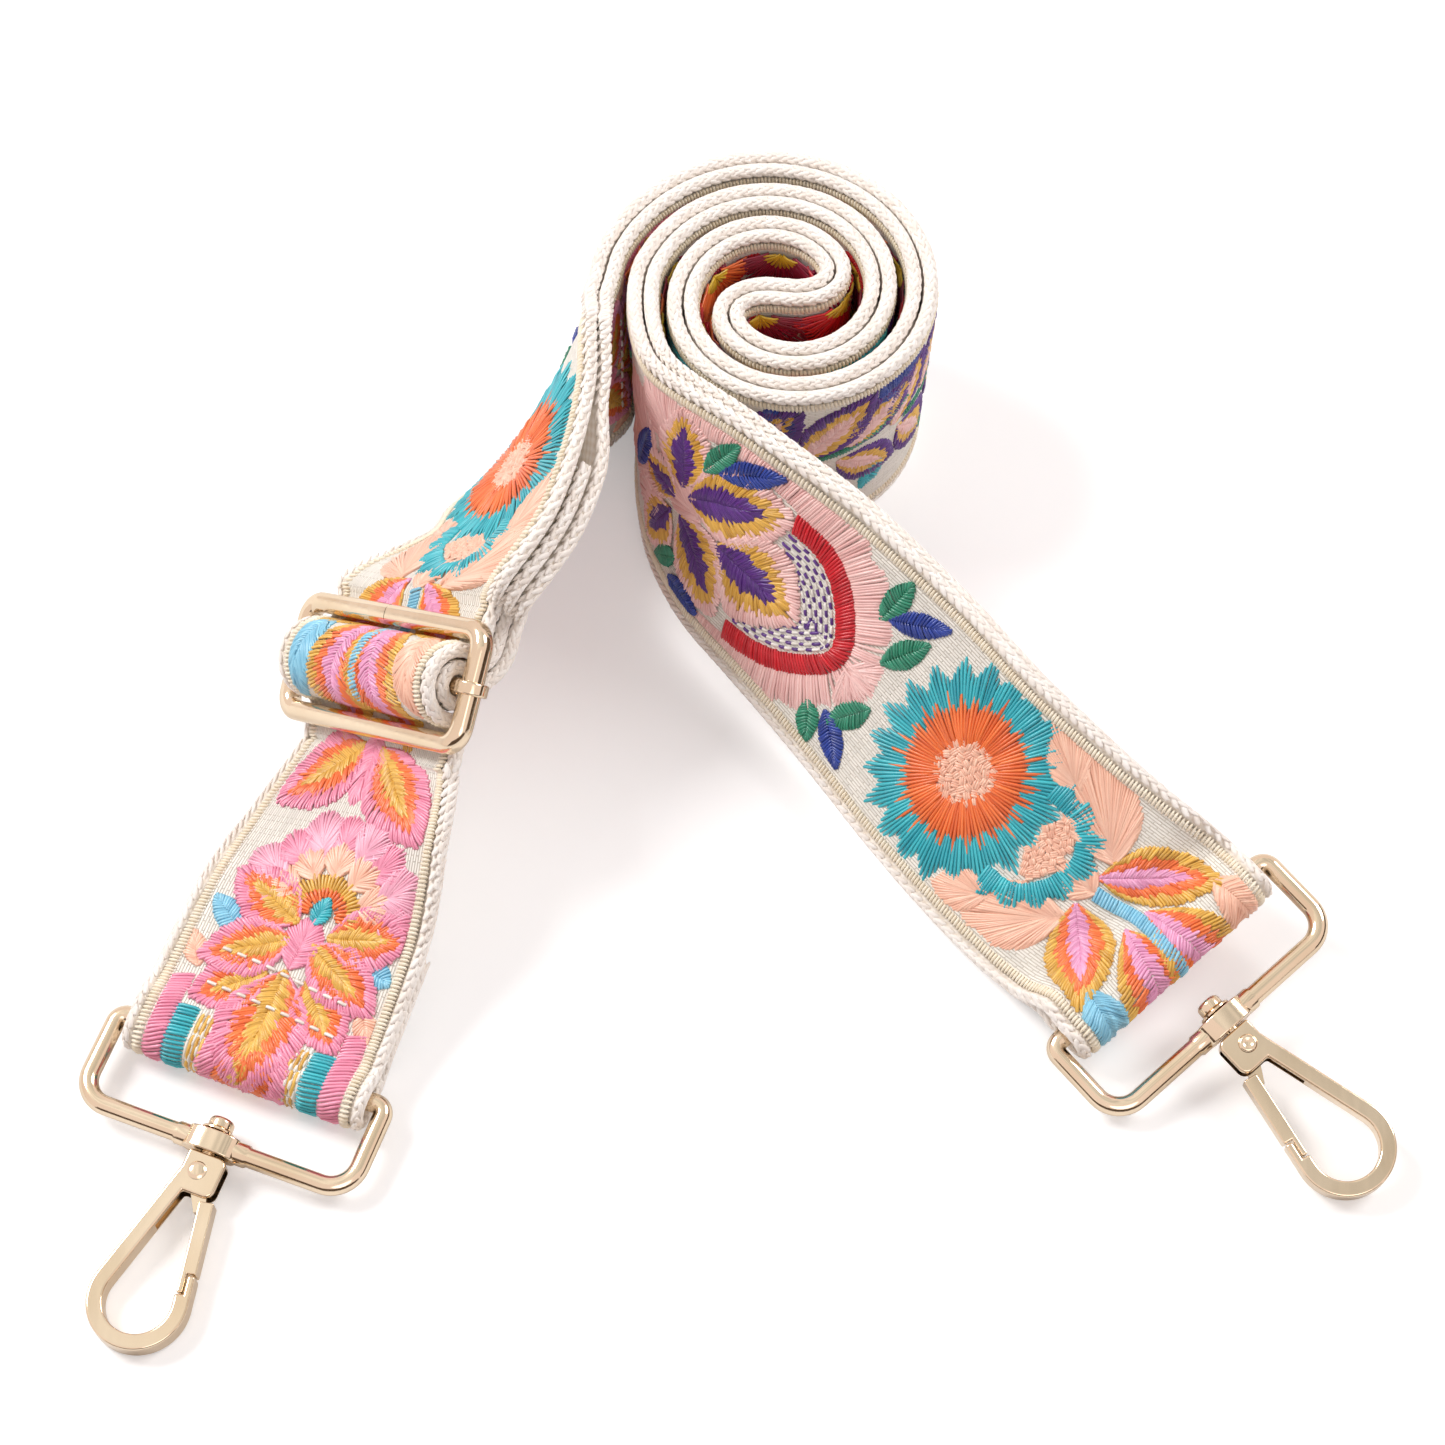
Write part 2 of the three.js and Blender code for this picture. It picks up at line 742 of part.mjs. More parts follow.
function rivetHole() {
  const hole = cylinder(rivetDiameter / 2 + rivetClearance, hookThickness + 2 * cutOverrun);
  return solidOf(hole.rotateX(Math.PI / 2));
}

// The fork slot is open at the foot of the head and on the gate's side.
function forkCut() {
  const width = headSideRight + forkReach + cutOverrun;
  const length = forkReach + headBottom + cutOverrun;
  const box = new THREE.BoxGeometry(width, length, forkSlot);
  return solidOf(box.translate(width / 2 - forkReach, length / 2 - forkReach, 0));
}

function recessCut() {
  const turn = legTurn(headSideLeft);
  const innerRadius = loopRadius - hookBarWidth;
  const climb = (rivetToLoop - recessStart - recessLength / 2) / Math.sin(turn);
  const box = new THREE.BoxGeometry(2 * recessDepth, recessLength, recessWidth);
  box.translate(-innerRadius, -climb, 0).rotateZ(Math.PI / 2 - turn);
  return solidOf(box.translate(0, rivetToLoop, 0));
}

function studBore() {
  const bore = cylinder(studShank / 2 + studClearance, headTop + cutOverrun);
  return solidOf(bore.translate(0, -headTop, 0));
}

function hookGeometry() {
  const blank = solidOf(slab(hookOutline(), hookThickness, hookBevel));
  const cuts = [rivetHole(), forkCut(), recessCut(), studBore()];
  const hook = cuts.reduce((body, cut) => body.subtract(cut), blank);
  return geometryOf(hook).translate(0, rivetPlace(), 0);
}

// The gate's tongue passes inside the loop's stepped end.
function gateOutline() {
  const inner = loopRadius - gateWidth;
  const tongue = loopRadius - hookBarWidth + stepWidth - gateGap;
  const touch = rivetToLoop - loopRadius * Math.cos(legTurn(headSideRight));
  const top = (touch - headBottom - gateGap) / Math.sin(legTurn(headSideRight));
  const shape = new THREE.Shape();
  shape.moveTo(...legPoint(inner, top));
  shape.lineTo(...legPoint(loopRadius, top));
  shape.lineTo(...legPoint(loopRadius, noseClimb + gateGap));
  shape.lineTo(...legPoint(tongue, noseClimb + gateGap));
  shape.lineTo(...legPoint(tongue, stepClimb + gateGap));
  shape.lineTo(...legPoint(inner, stepClimb + gateGap));
  return shape;
}

function gateGeometry() {
  const bar = solidOf(slab(gateOutline(), gateThickness, gateBevel));
  const lift = -forkSlot / 2 + seatGap + lugThickness / 2;
  const eye = cylinder(lugRadius, lugThickness).rotateX(Math.PI / 2).translate(0, 0, lift);
  const neckEnd = headBottom + gateGap + neckWidth;
  const neckSide = headSideRight + gateGap - gateWidth / 2;
  const neckLength = Math.hypot(neckEnd, neckSide);
  const neck = new THREE.BoxGeometry(neckWidth, neckLength, lugThickness);
  neck.translate(0, neckLength / 2, lift).rotateZ(-Math.atan2(neckSide, neckEnd));
  const gate = bar.add(solidOf(eye)).add(solidOf(neck)).subtract(rivetHole());
  return geometryOf(gate).translate(0, rivetPlace(), 0);
}

function rivetGeometry() {
  const shank = rivetDiameter / 2;
  const head = rivetHead / 2;
  const face = hookThickness / 2 + seatGap;
  const end = face + rivetHeadHeight;
  const profile = [
    [0, -end], [head * rivetCrownShare, -end], [head, -face], [shank, -face],
    [shank, face], [head, face], [head * eyeletRimShare, end], [head * eyeletMouthShare, end],
    [head * eyeletFootShare, end - eyeletDepth], [0, end - eyeletDepth],
  ];
  return lathed(profile).rotateX(Math.PI / 2).translate(0, rivetPlace(), 0);
}

// A torsion spring: one turn round the rivet, with a leg to the head and one to the gate.
function springGeometry() {
  const floor = -forkSlot / 2 + 2 * seatGap + lugThickness + springWire / 2;
  const coil = Array.from({ length: coilSteps + 1 }, (_, k) => {
    const turn = Math.PI + (2 * Math.PI * k) / coilSteps;
    const rise = floor + (springRise * k) / coilSteps;
    return new THREE.Vector3(springRadius * Math.cos(turn), springRadius * Math.sin(turn), rise);
  });
  const points = [
    coil[0].clone().add(new THREE.Vector3(0, springLeg, 0)),
    ...coil,
    coil[coilSteps].clone().add(new THREE.Vector3(0, -springTail, 0)),
  ];
  const stations = points.map((at, k) => {
    const before = points[Math.max(0, k - 1)];
    const after = points[Math.min(points.length - 1, k + 1)];
    const heading = after.clone().sub(before).normalize();
    const out = squareTo(upright, heading);
    return { at, across: out.clone().cross(heading), out };
  });
  return sweep(stations, roundSection(springWire / 2, coilSides)).translate(0, rivetPlace(), 0);
}

function hookAssembly(end) {
  const place = ringPlace(end);
  const across = end === 'a' ? place.across : place.across.clone().negate();
  const group = new THREE.Group();
  const basis = new THREE.Matrix4().makeBasis(across, place.out, across.clone().cross(place.out));
  group.quaternion.setFromRotationMatrix(basis);
  group.position.copy(place.at).addScaledVector(place.out, ringDepth);
  group.add(
    piece(`ring_${end}`, ringGeometry(), gold),
    piece(`swivel_stud_${end}`, studGeometry(), gold),
    piece(`stud_washer_${end}`, washerGeometry(), gold),
    piece(`hook_body_${end}`, hookGeometry(), gold),
    piece(`gate_${end}`, gateGeometry(), gold),
    piece(`gate_rivet_${end}`, rivetGeometry(), gold),
    piece(`gate_spring_${end}`, springGeometry(), springSteel),
  );
  return group;
}

// Adjuster: x across the strap, y along it, z out of its face, the centre bar at y = 0.

function claspGeometry(side) {
  const inner = frameWire / 2 + claspClearance;
  const middle = inner + claspThickness / 2;
  const half = claspThickness / 2;
  const section = [
    [-half, -claspLength / 2], [half, -claspLength / 2], [half, claspLength / 2], [-half, claspLength / 2],
  ];
  const along = new THREE.Vector3(0, 1, 0);
  const stations = [];
  for (let k = 0; k <= claspSteps; k += 1) {
    const swept = ((claspArcDegrees + claspLeadDegrees) * k) / claspSteps;
    const turn = radians(180 + claspLeadDegrees - swept);
    const across = new THREE.Vector3(side * Math.cos(turn), 0, Math.sin(turn));
    const at = across.clone().multiplyScalar(middle).add(new THREE.Vector3((side * frameSpan) / 2, 0, 0));
    stations.push({ at, across, out: along });
  }
  return sweep(stations, section);
}

function centreBarGeometry() {
  const reach = frameSpan / 2 - frameWire / 2 - claspClearance - claspThickness / 2;
  const rod = solidOf(cylinder(centreBar / 2, 2 * reach, wireSides).rotateZ(Math.PI / 2));
  return geometryOf(rod.add(solidOf(claspGeometry(1))).add(solidOf(claspGeometry(-1))));
}

function adjuster() {
  const place = sliderPlace();
  const group = new THREE.Group();
  const basis = new THREE.Matrix4().makeBasis(place.across, place.heading, place.face);
  group.quaternion.setFromRotationMatrix(basis);
  group.position.copy(place.at);
  const half = frameDepth / 2;
  const frame = wireLoop(frameSpan, -half, half, frameCorner, frameCorner, frameWire);
  group.add(
    piece('slider_frame', frame, gold),
    piece('slider_centre_bar', centreBarGeometry(), gold),
  );
  return group;
}

const strap = new THREE.Group();
strap.add(...strapPieces(), adjuster(), hookAssembly('a'), hookAssembly('b'));

// The least gap in the roll, between points of the faces of its plies and turns.
function rollGap() {
  const points = [];
  for (let s = rollStart; s < rollEnd; s += gapStep) {
    const row = baseAt(s);
    for (const ply of [1, -1]) {
      for (const side of [1, -1]) {
        const n = ply * plyOffset + (side * strapThickness) / 2;
        points.push({ s, ply, at: row.at.clone().addScaledVector(row.face, n) });
      }
    }
  }
  let least = Infinity;
  for (const a of points) {
    for (const b of points) {
      const apart = a.ply !== b.ply || Math.abs(a.s - b.s) > rollPitch;
      if (apart) least = Math.min(least, a.at.distanceTo(b.at));
    }
  }
  return least;
}

console.log(`least gap in the roll: ${rollGap().toFixed(2)} mm`);

export default strap;
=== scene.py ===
import math

import bmesh
import bpy
import mathutils
import numpy as np
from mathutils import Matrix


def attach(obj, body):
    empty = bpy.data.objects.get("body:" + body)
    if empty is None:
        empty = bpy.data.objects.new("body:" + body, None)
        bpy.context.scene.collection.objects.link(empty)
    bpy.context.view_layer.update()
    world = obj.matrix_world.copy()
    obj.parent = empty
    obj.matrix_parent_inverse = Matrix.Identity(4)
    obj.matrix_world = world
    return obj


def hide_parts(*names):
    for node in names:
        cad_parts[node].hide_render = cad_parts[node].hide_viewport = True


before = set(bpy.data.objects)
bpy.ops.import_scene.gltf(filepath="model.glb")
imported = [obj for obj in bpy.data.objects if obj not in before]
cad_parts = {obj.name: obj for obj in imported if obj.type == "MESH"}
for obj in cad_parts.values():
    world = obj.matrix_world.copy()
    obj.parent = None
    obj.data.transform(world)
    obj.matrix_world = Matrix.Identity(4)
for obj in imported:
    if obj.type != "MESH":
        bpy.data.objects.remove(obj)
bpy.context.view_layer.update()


# How the strap lies. Its middle surface follows a route over the table, given in shares of
# one span: a point, then the direction across the strap. The strap's own path runs off that
# surface in two plies, round ring A, over the adjuster, through the roll and round ring B.
mm = 0.001
route_span = 100.0
strap_thickness = 2.9
ply_offset = 1.7
ring_a = {"place": (-0.92, -0.636, 0.053), "across": (0.936, -0.352, 0.0), "out": (-0.352, -0.936, -0.047)}
ring_b = {"place": (0.817, -0.438, 0.109), "across": (0.753, 0.633, 0.178), "out": (0.65, -0.752, -0.111)}
ring_a_heading = (0.36, 0.932, 0.14)
ring_lead = 8.0
left_run_rows = [
    ((-0.812, -0.361, 0.107), (0.92, -0.36, 0.12)),
    ((-0.75, -0.201, 0.142), (0.83, -0.36, 0.42)),
]
slider = {"place": (-0.649, 0.106, 0.226), "across": (0.67, -0.47, 0.575), "heading": (0.21, 0.89, 0.41)}
slider_straight, slider_lead = 14.5, 17.0
left_bend_rows = [
    ((-0.547, 0.284, 0.335), (0.5, -0.55, 0.68)),
    ((-0.472, 0.377, 0.339), (0.55, -0.36, 0.76)),
    ((-0.432, 0.489, 0.335), (0.59, -0.14, 0.8)),
    ((-0.4, 0.596, 0.322), (0.55, 0.09, 0.83)),
    ((-0.357, 0.705, 0.298), (0.36, 0.2, 0.91)),
    ((-0.297, 0.784, 0.268), (0.1, 0.05, 0.99)),
]
roll_centre = (0.098, 0.85, 0.253)
right_bend_rows = [
    ((-0.157, 0.634, 0.272), (0.04, 0.16, 0.98)),
    ((-0.029, 0.435, 0.296), (0.3, 0.3, 0.9)),
    ((0.142, 0.267, 0.267), (0.54, 0.3, 0.78)),
    ((0.3, 0.095, 0.227), (0.6, 0.35, 0.715)),
    ((0.45, -0.092, 0.198), (0.6, 0.46, 0.655)),
    ((0.613, -0.259, 0.157), (0.64, 0.57, 0.513)),
    ((0.71, -0.339, 0.131), (0.7, 0.61, 0.37)),
]
roll_pitch, roll_core_radius, roll_flare = 16.5, 11.0, 0.045
core_start, left_arm, right_arm, roll_step = 45, 538, 352, 15
core_handle, core_middle, core_drop, core_steps = 6.5, 8.5, 1.5, 5
base_steps = 4800


def unit(vectors):
    vectors = np.asarray(vectors, float)
    return vectors / np.linalg.norm(vectors, axis=-1, keepdims=True)


def square_to(vectors, axis):
    vectors, axis = np.asarray(vectors, float), np.asarray(axis, float)
    return unit(vectors - (vectors * axis).sum(-1, keepdims=True) * axis)


def at_share(shares):
    return np.array(shares) * route_span


def roll_arm(degrees, arm_turn):
    radius = roll_core_radius + roll_pitch * degrees / 360
    turn = math.radians(degrees) + arm_turn
    return np.array([radius * math.cos(turn), radius * math.sin(turn), 0.0])


def roll_core():
    end = roll_arm(core_start, 0)
    slope = unit(roll_arm(core_start + 1, 0) - end)
    bows = [np.zeros(3), np.array([core_middle, -core_drop, 0]), end - slope * core_handle, end]
    t = np.linspace(0, 1, 201)[:, None]
    line = sum(p * w for p, w in zip(bows, [(1 - t) ** 3, 3 * t * (1 - t) ** 2, 3 * t * t * (1 - t), t ** 3]))
    length = np.r_[0, np.cumsum(np.linalg.norm(np.diff(line, axis=0), axis=1))]
    even = np.linspace(0, length[-1], core_steps + 1)
    return np.stack([np.interp(even, length, line[:, k]) for k in range(3)], 1)


def roll_rows():
    def arm(degrees, arm_turn):
        steps = round((degrees - core_start) / roll_step)
        return [roll_arm(core_start + k * (degrees - core_start) / steps, arm_turn) for k in range(steps + 1)]
    core = roll_core()
    points = arm(left_arm, 0)[::-1] + list(core[:-1][::-1]) + [-p for p in core[1:-1]] + arm(right_arm, math.pi)
    rim = np.linalg.norm(roll_arm(left_arm, 0))
    return [(p + at_share(roll_centre), unit([0, 0, 1] + p * roll_flare / rim)) for p in points]


def route_rows():
    def run(place, heading, across, distances):
        return [(place + heading * d, across) for d in distances]
    def given(rows):
        return [(at_share(place), unit(across)) for place, across in rows]
    across_a, across_b, across_s = unit(ring_a["across"]), unit(ring_b["across"]), unit(slider["across"])
    steps = (-ring_lead, 0, ring_lead)
    slider_steps = (-slider_lead, -slider_straight, 0, slider_straight, slider_lead)
    start = run(at_share(ring_a["place"]), square_to(ring_a_heading, across_a), across_a, steps)
    middle = run(at_share(slider["place"]), square_to(slider["heading"], across_s), across_s, slider_steps)
    end = run(at_share(ring_b["place"]), square_to(ring_b["out"], across_b), across_b, steps)
    parts = [start, given(left_run_rows), middle, given(left_bend_rows), roll_rows(), given(right_bend_rows), end]
    ends = np.cumsum([len(part) for part in parts])
    marks = {"ring_a": 1, "slider": ends[1] + 2, "roll_start": ends[3], "roll_end": ends[4] - 1, "ring_b": ends[6] - 2}
    return sum(parts, []), marks


def smooth_line(points, t):
    points = np.asarray(points, float)
    last = len(points) - 1
    i = np.clip(np.floor(t * last).astype(int), 0, last - 1)
    w = (t * last - i)[:, None]
    ends = np.vstack([2 * points[0] - points[1], points, 2 * points[-1] - points[-2]])
    p0, p1, p2, p3 = ends[i], ends[i + 1], ends[i + 2], ends[i + 3]
    def knot(a, b):
        return (((b - a) ** 2).sum(1) ** 0.25)[:, None]
    d0, d1, d2 = knot(p0, p1), knot(p1, p2), knot(p2, p3)
    d1 = np.where(d1 < 1e-4, 1.0, d1)
    d0, d2 = np.where(d0 < 1e-4, d1, d0), np.where(d2 < 1e-4, d1, d2)
    m1 = ((p1 - p0) / d0 - (p2 - p0) / (d0 + d1) + (p2 - p1) / d1) * d1
    m2 = ((p2 - p1) / d1 - (p3 - p1) / (d1 + d2) + (p3 - p2) / d2) * d1
    return p1 + m1 * w + (3 * (p2 - p1) - 2 * m1 - m2) * w ** 2 + (2 * (p1 - p2) + m1 + m2) * w ** 3


rows, row_marks = route_rows()
row_points, row_across = [row[0] for row in rows], [row[1] for row in rows]
base_t, nudge = np.linspace(0, 1, base_steps + 1), 1e-4
base_at = smooth_line(row_points, base_t)
base_across = unit(smooth_line(row_across, base_t))
just_before, just_after = (smooth_line(row_points, np.clip(base_t + step, 0, 1)) for step in (-nudge, nudge))
base_heading = square_to(just_after - just_before, base_across)
base_face = np.cross(base_across, base_heading)
base_length = np.r_[0, np.cumsum(np.linalg.norm(np.diff(base_at, axis=0), axis=1))]
mark = {key: base_length[round(i / (len(rows) - 1) * base_steps)] for key, i in row_marks.items()}

ring_wire, centre_bar, bar_clearance, eye_slack, eye_run = 3.8, 3.5, 0.3, 1.0, 12.0
sewn_tail, hem_tail, wrap_gap, frame_seat = 28.0, 36.0, 0.45, 0.35
frame_depth, frame_wire, shoulder_inset = 22.4, 4.2, 1.2
eye_radius = ring_wire / 2 + bar_clearance + strap_thickness / 2
wrap_radius = centre_bar / 2 + bar_clearance + strap_thickness / 2
through_radius = wrap_radius + strap_thickness + wrap_gap
bar_height = ply_offset + strap_thickness / 2 + frame_seat + frame_wire / 2
shoulder = frame_depth / 2 - shoulder_inset
shoulder_radius = shoulder - through_radius


def straight_leg(s0, s1, n, step=1.0):
    k = max(1, round(abs(s1 - s0) / step))
    return [(s0 + (s1 - s0) * i / k, n) for i in range(k + 1)]


def easing_leg(s0, s1, n0, n1, step=0.5):
    k = max(4, round(abs(s1 - s0) / step))
    return [(s0 + (s1 - s0) * i / k, n0 + (n1 - n0) * (1 - math.cos(math.pi * i / k)) / 2) for i in range(k + 1)]


def arc(x, y, radius, first, last, steps):
    """Points round part of a circle, from one angle to another, in degrees."""
    turns = [math.radians(first + (last - first) * k / steps) for k in range(steps + 1)]
    return [(x + radius * math.cos(t), y + radius * math.sin(t)) for t in turns]


def round_leg(s, n, radius, first, last, step=7.0):
    return arc(s, n, radius, first, last, max(2, round(abs(last - first) / step)))


def strap_legs():
    a, b, bar, roll0, roll1 = (mark[key] for key in ("ring_a", "ring_b", "slider", "roll_start", "roll_end"))
    near, far = bar - shoulder, bar + shoulder
    top, low, hem = ply_offset + shoulder_radius, -3 * ply_offset, far + hem_tail
    return [
        straight_leg(a + sewn_tail, a + eye_run, -ply_offset), easing_leg(a + eye_run, a, -ply_offset, -eye_radius),
        round_leg(a - eye_slack, 0, eye_radius, -90, -270), easing_leg(a, a + eye_run, eye_radius, ply_offset),
        straight_leg(a + eye_run, near, ply_offset), round_leg(near, top, shoulder_radius, -90, 0),
        round_leg(bar, bar_height, through_radius, 180, 0), round_leg(far, top, shoulder_radius, 180, 270),
        straight_leg(far, roll0, ply_offset), straight_leg(roll0, roll1, ply_offset),
        straight_leg(roll1, b - eye_run, ply_offset),
        easing_leg(b - eye_run, b, ply_offset, eye_radius), round_leg(b + eye_slack, 0, eye_radius, 90, -90),
        easing_leg(b, b - eye_run, -eye_radius, -ply_offset), straight_leg(b - eye_run, roll1, -ply_offset),
        straight_leg(roll1, roll0, -ply_offset), straight_leg(roll0, hem + eye_run, -ply_offset),
        easing_leg(hem + eye_run, hem, -ply_offset, low), straight_leg(hem, far, low),
        round_leg(far, top, shoulder_radius + 4 * ply_offset, 270, 225),
        round_leg(bar, bar_height, wrap_radius, -135, -360),
        round_leg(far, top, shoulder_radius + 2 * ply_offset, 180, 270), straight_leg(far, far + hem_tail, -ply_offset),
    ]


def on_base(s, what):
    return np.stack([np.interp(s, base_length, what[:, k]) for k in range(3)], 1)


path = [strap_legs()[0][0]]
for leg in strap_legs():
    path += [p for p in leg if math.dist(p, path[-1]) > 0.3]
path = np.array(path)
turn = unit(np.vstack([path[1:2] - path[0:1], path[2:] - path[:-2], path[-1:] - path[-2:-1]]))
path_across, path_face = unit(on_base(path[:, 0], base_across)), unit(on_base(path[:, 0], base_face))
path_heading = unit(on_base(path[:, 0], base_heading))
path_ahead = path_heading * turn[:, 0:1] + path_face * turn[:, 1:2]
path_at = on_base(path[:, 0], base_at) + path_face * path[:, 1:2]
path_out = path_face * turn[:, 0:1] - path_heading * turn[:, 1:2]
path_length = np.r_[0, np.cumsum(np.linalg.norm(np.diff(path_at, axis=0), axis=1))]
strap_length = path_length[-1]


def along_strap(lengths, what):
    return np.stack([np.interp(lengths, path_length, what[:, k]) for k in range(3)], -1)


def strap_points(lengths, across, out):
    """Points on the strap: how far along, how far across from its middle, how far out of its face."""
    lengths, across, out = np.broadcast_arrays(np.asarray(lengths, float), across, out)
    return (along_strap(lengths, path_at) + along_strap(lengths, path_across) * across[..., None]
            + along_strap(lengths, path_out) * out[..., None]) * mm


# The webbing: a woven cotton tape, 50 mm wide, whose thick edges stand as high as the
# ribbon sewn between them. It is one length, folded round both rings and the centre bar.
strap_stretches = ("left_first_ply", "roll_first_ply", "right_run", "roll_second_ply", "left_second_ply")
edge_middle, edge_radius = 23.55, 1.14
tape_back, tape_front, tape_half = -1.38, 0.42, 22.5
weave_slant, pick_closeness, fuzz_scale, fuzz_share, weave_depth = 28, 1.3, 900.0, 0.35, 0.00025


def seen(red, green, blue):
    """A colour as it looks on a screen, 0 to 255, as a shader takes it."""
    return tuple(((c / 255 + 0.055) / 1.055) ** 2.4 for c in (red, green, blue))


def new_piece(name, points, faces, edges=()):
    mesh = bpy.data.meshes.new(name)
    mesh.from_pydata(np.asarray(points, float).tolist(), list(edges), [list(map(int, f)) for f in faces])
    mesh.validate()
    piece = bpy.data.objects.new(name, mesh)
    bpy.context.scene.collection.objects.link(piece)
    return piece


def cloth_tube(name, section):
    """A closed section swept along the whole strap, with the cloth's own map in centimetres."""
    section = np.array(section)
    n, sides = len(path_length), len(section)
    points = strap_points(path_length[:, None], section[None, :, 0], section[None, :, 1]).reshape(-1, 3)
    faces = [(i * sides + j, i * sides + (j + 1) % sides, (i + 1) * sides + (j + 1) % sides, (i + 1) * sides + j)
             for i in range(n - 1) for j in range(sides)]
    faces += [tuple(range(sides))[::-1], tuple((n - 1) * sides + j for j in range(sides))]
    piece = new_piece(name, points, faces)
    round_it = np.r_[0, np.cumsum(np.linalg.norm(np.roll(section, -1, 0) - section, axis=1))] / 10
    uv = piece.data.uv_layers.new(name="cloth")
    corners = []
    for i in range(n - 1):
        a, b = path_length[i] / 10, path_length[i + 1] / 10
        for j in range(sides):
            corners += [(a, round_it[j]), (a, round_it[j + 1]), (b, round_it[j + 1]), (b, round_it[j])]
    corners += [(0, 0)] * sides + [(strap_length / 10, 0)] * sides
    uv.data.foreach_set("uv", np.array(corners, np.float32).ravel())
    piece.data.polygons.foreach_set("use_smooth", [True] * len(piece.data.polygons))
    return piece


def paint(name, shader_sockets):
    material = bpy.data.materials.new(name)
    material.use_nodes = True
    shader = material.node_tree.nodes["Principled BSDF"]
    for socket, value in shader_sockets.items():
        shader.inputs[socket].default_value = value
    return material, material.node_tree, shader


def wire(tree, kind, settings=None, **inputs):
    """A node, with its settings and what goes into its sockets: a value, or another node's output."""
    node = tree.nodes.new(kind)
    for key, value in (settings or {}).items():
        setattr(node, key, value)
    for key, value in inputs.items():
        socket = node.inputs[int(key[1:]) if key[0] == "_" and key[1:].isdigit() else key.replace("_", " ")]
        if isinstance(value, bpy.types.NodeSocket):
            tree.links.new(value, socket)
        else:
            socket.default_value = value
    return node


def worked(tree, operation, *values, **settings):
    """A sum on values or other nodes' outputs."""
    sockets = {f"_{k}": value for k, value in enumerate(values)}
    return wire(tree, "ShaderNodeMath", {"operation": operation, **settings}, **sockets).outputs[0]


def ranged(tree, value, **ends):
    return wire(tree, "ShaderNodeMapRange", Value=value, **ends).outputs[0]


def on_object(tree):
    return wire(tree, "ShaderNodeTexCoord").outputs["Object"]


def speckled(tree, place, scale, **more):
    return wire(tree, "ShaderNodeTexNoise", Vector=place, Scale=scale, **more).outputs["Fac"]


def coloured(tree, shader, share, low, high):
    """The shader's colour lies between two, by a share."""
    mix = wire(tree, "ShaderNodeMix", {"data_type": "RGBA"}, _0=share, _6=(*low, 1), _7=(*high, 1))
    tree.links.new(mix.outputs[2], shader.inputs["Base Color"])


def bumped(tree, shader, height, strength, distance):
    bump = wire(tree, "ShaderNodeBump", Strength=strength, Distance=distance, Height=height)
    tree.links.new(bump.outputs["Normal"], shader.inputs["Normal"])


def cloth_paint(name, roughness, sheen, softness, gloss):
    return paint(name, {"Roughness": roughness, "Sheen Weight": sheen, "Sheen Roughness": softness,
                        "Specular IOR Level": gloss})


def woven_cotton(name, thread, light, dark, relief):
    """Over and under threads on the cloth's own map: `thread` is their width in millimetres. The raised threads take
    the light colour and the low ones the dark: painted light and painted shade.
    """
    material, tree, shader = cloth_paint(name, 0.85, 0.35, 0.5, 0.3)
    cloth = wire(tree, "ShaderNodeUVMap", {"uv_map": "cloth"}).outputs["UV"]
    slanted = wire(tree, "ShaderNodeMapping", Vector=cloth, Rotation=(0, 0, math.radians(weave_slant)))
    parts = wire(tree, "ShaderNodeSeparateXYZ", Vector=slanted.outputs["Vector"])
    ribs = 10 * math.pi / thread
    ends, picks = (worked(tree, "SINE", worked(tree, "MULTIPLY", parts.outputs[axis], ribs * closeness))
                   for axis, closeness in (("X", 1.0), ("Y", pick_closeness)))
    share = ranged(tree, worked(tree, "MULTIPLY", ends, picks), From_Min=-1.0)
    fuzz = speckled(tree, on_object(tree), fuzz_scale, Detail=2.0)
    # Painted light and shade: the share that raises the weave in the bump also lightens it, so the low threads are
    # painted darker.
    coloured(tree, shader, share, dark, light)
    bumped(tree, shader, worked(tree, "MULTIPLY_ADD", fuzz, fuzz_share, share), relief, weave_depth)
    return material


def edge_arc(side, first, last, steps=8):
    return [(side * v, w) for v, w in arc(edge_middle, 0, edge_radius, first, last, steps)]


front_half = [(v, tape_front) for v in (-14.0, 0.0, 14.0)]
back_half = [(v, tape_back) for v in (14.0, 0.0, -14.0)]
tape_section = (edge_arc(1, 160, -120) + [(tape_half, tape_back)] + back_half + [(-tape_half, tape_back)]
                + edge_arc(-1, -120, 160) + front_half)
webbing = cloth_tube("webbing", tape_section)
# The webbing's light and dark colours are its lit and shaded tones, painted on by the weave's height.
cotton = woven_cotton("cotton_webbing", thread=1.1, light=seen(250, 244, 236), dark=seen(232, 220, 204), relief=0.6)
webbing.data.materials.append(cotton)
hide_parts(*[f"webbing_{stretch}" for stretch in strap_stretches])
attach(webbing, "strap")


# The tape's edges: each is a chain of cotton strands, laid in slanting rows round a soft
# core, as a narrow loom's selvedge is. They are what shows of the strap along the roll.
lobe_size, lobe_pitch, lobe_slant, lobe_unevenness = (3.2, 1.3, 0.74), 2.2, 18, 0.08
lobe_rows, lobe_reach, edge_end, strand_sides = (-80, -40, 0, 40, 80), 1.02 * edge_radius, 0.6, 6
strand_tones, cloud_scale, cloud_share, fibre_scale, fibre_relief, fibre_depth = 0.7, 260.0, 0.5, 3200.0, 0.35, 0.0001


def tree_with(name, **sockets):
    """An empty node tree with named inputs, and its input and output nodes."""
    tree = bpy.data.node_groups.new(name, "GeometryNodeTree")
    tree.interface.new_socket("Geometry", in_out="INPUT", socket_type="NodeSocketGeometry")
    for title, kind in sockets.items():
        tree.interface.new_socket(title.replace("_", " "), in_out="INPUT", socket_type="NodeSocket" + kind)
    tree.interface.new_socket("Geometry", in_out="OUTPUT", socket_type="NodeSocketGeometry")
    return tree, tree.nodes.new("NodeGroupInput").outputs, tree.nodes.new("NodeGroupOutput").inputs


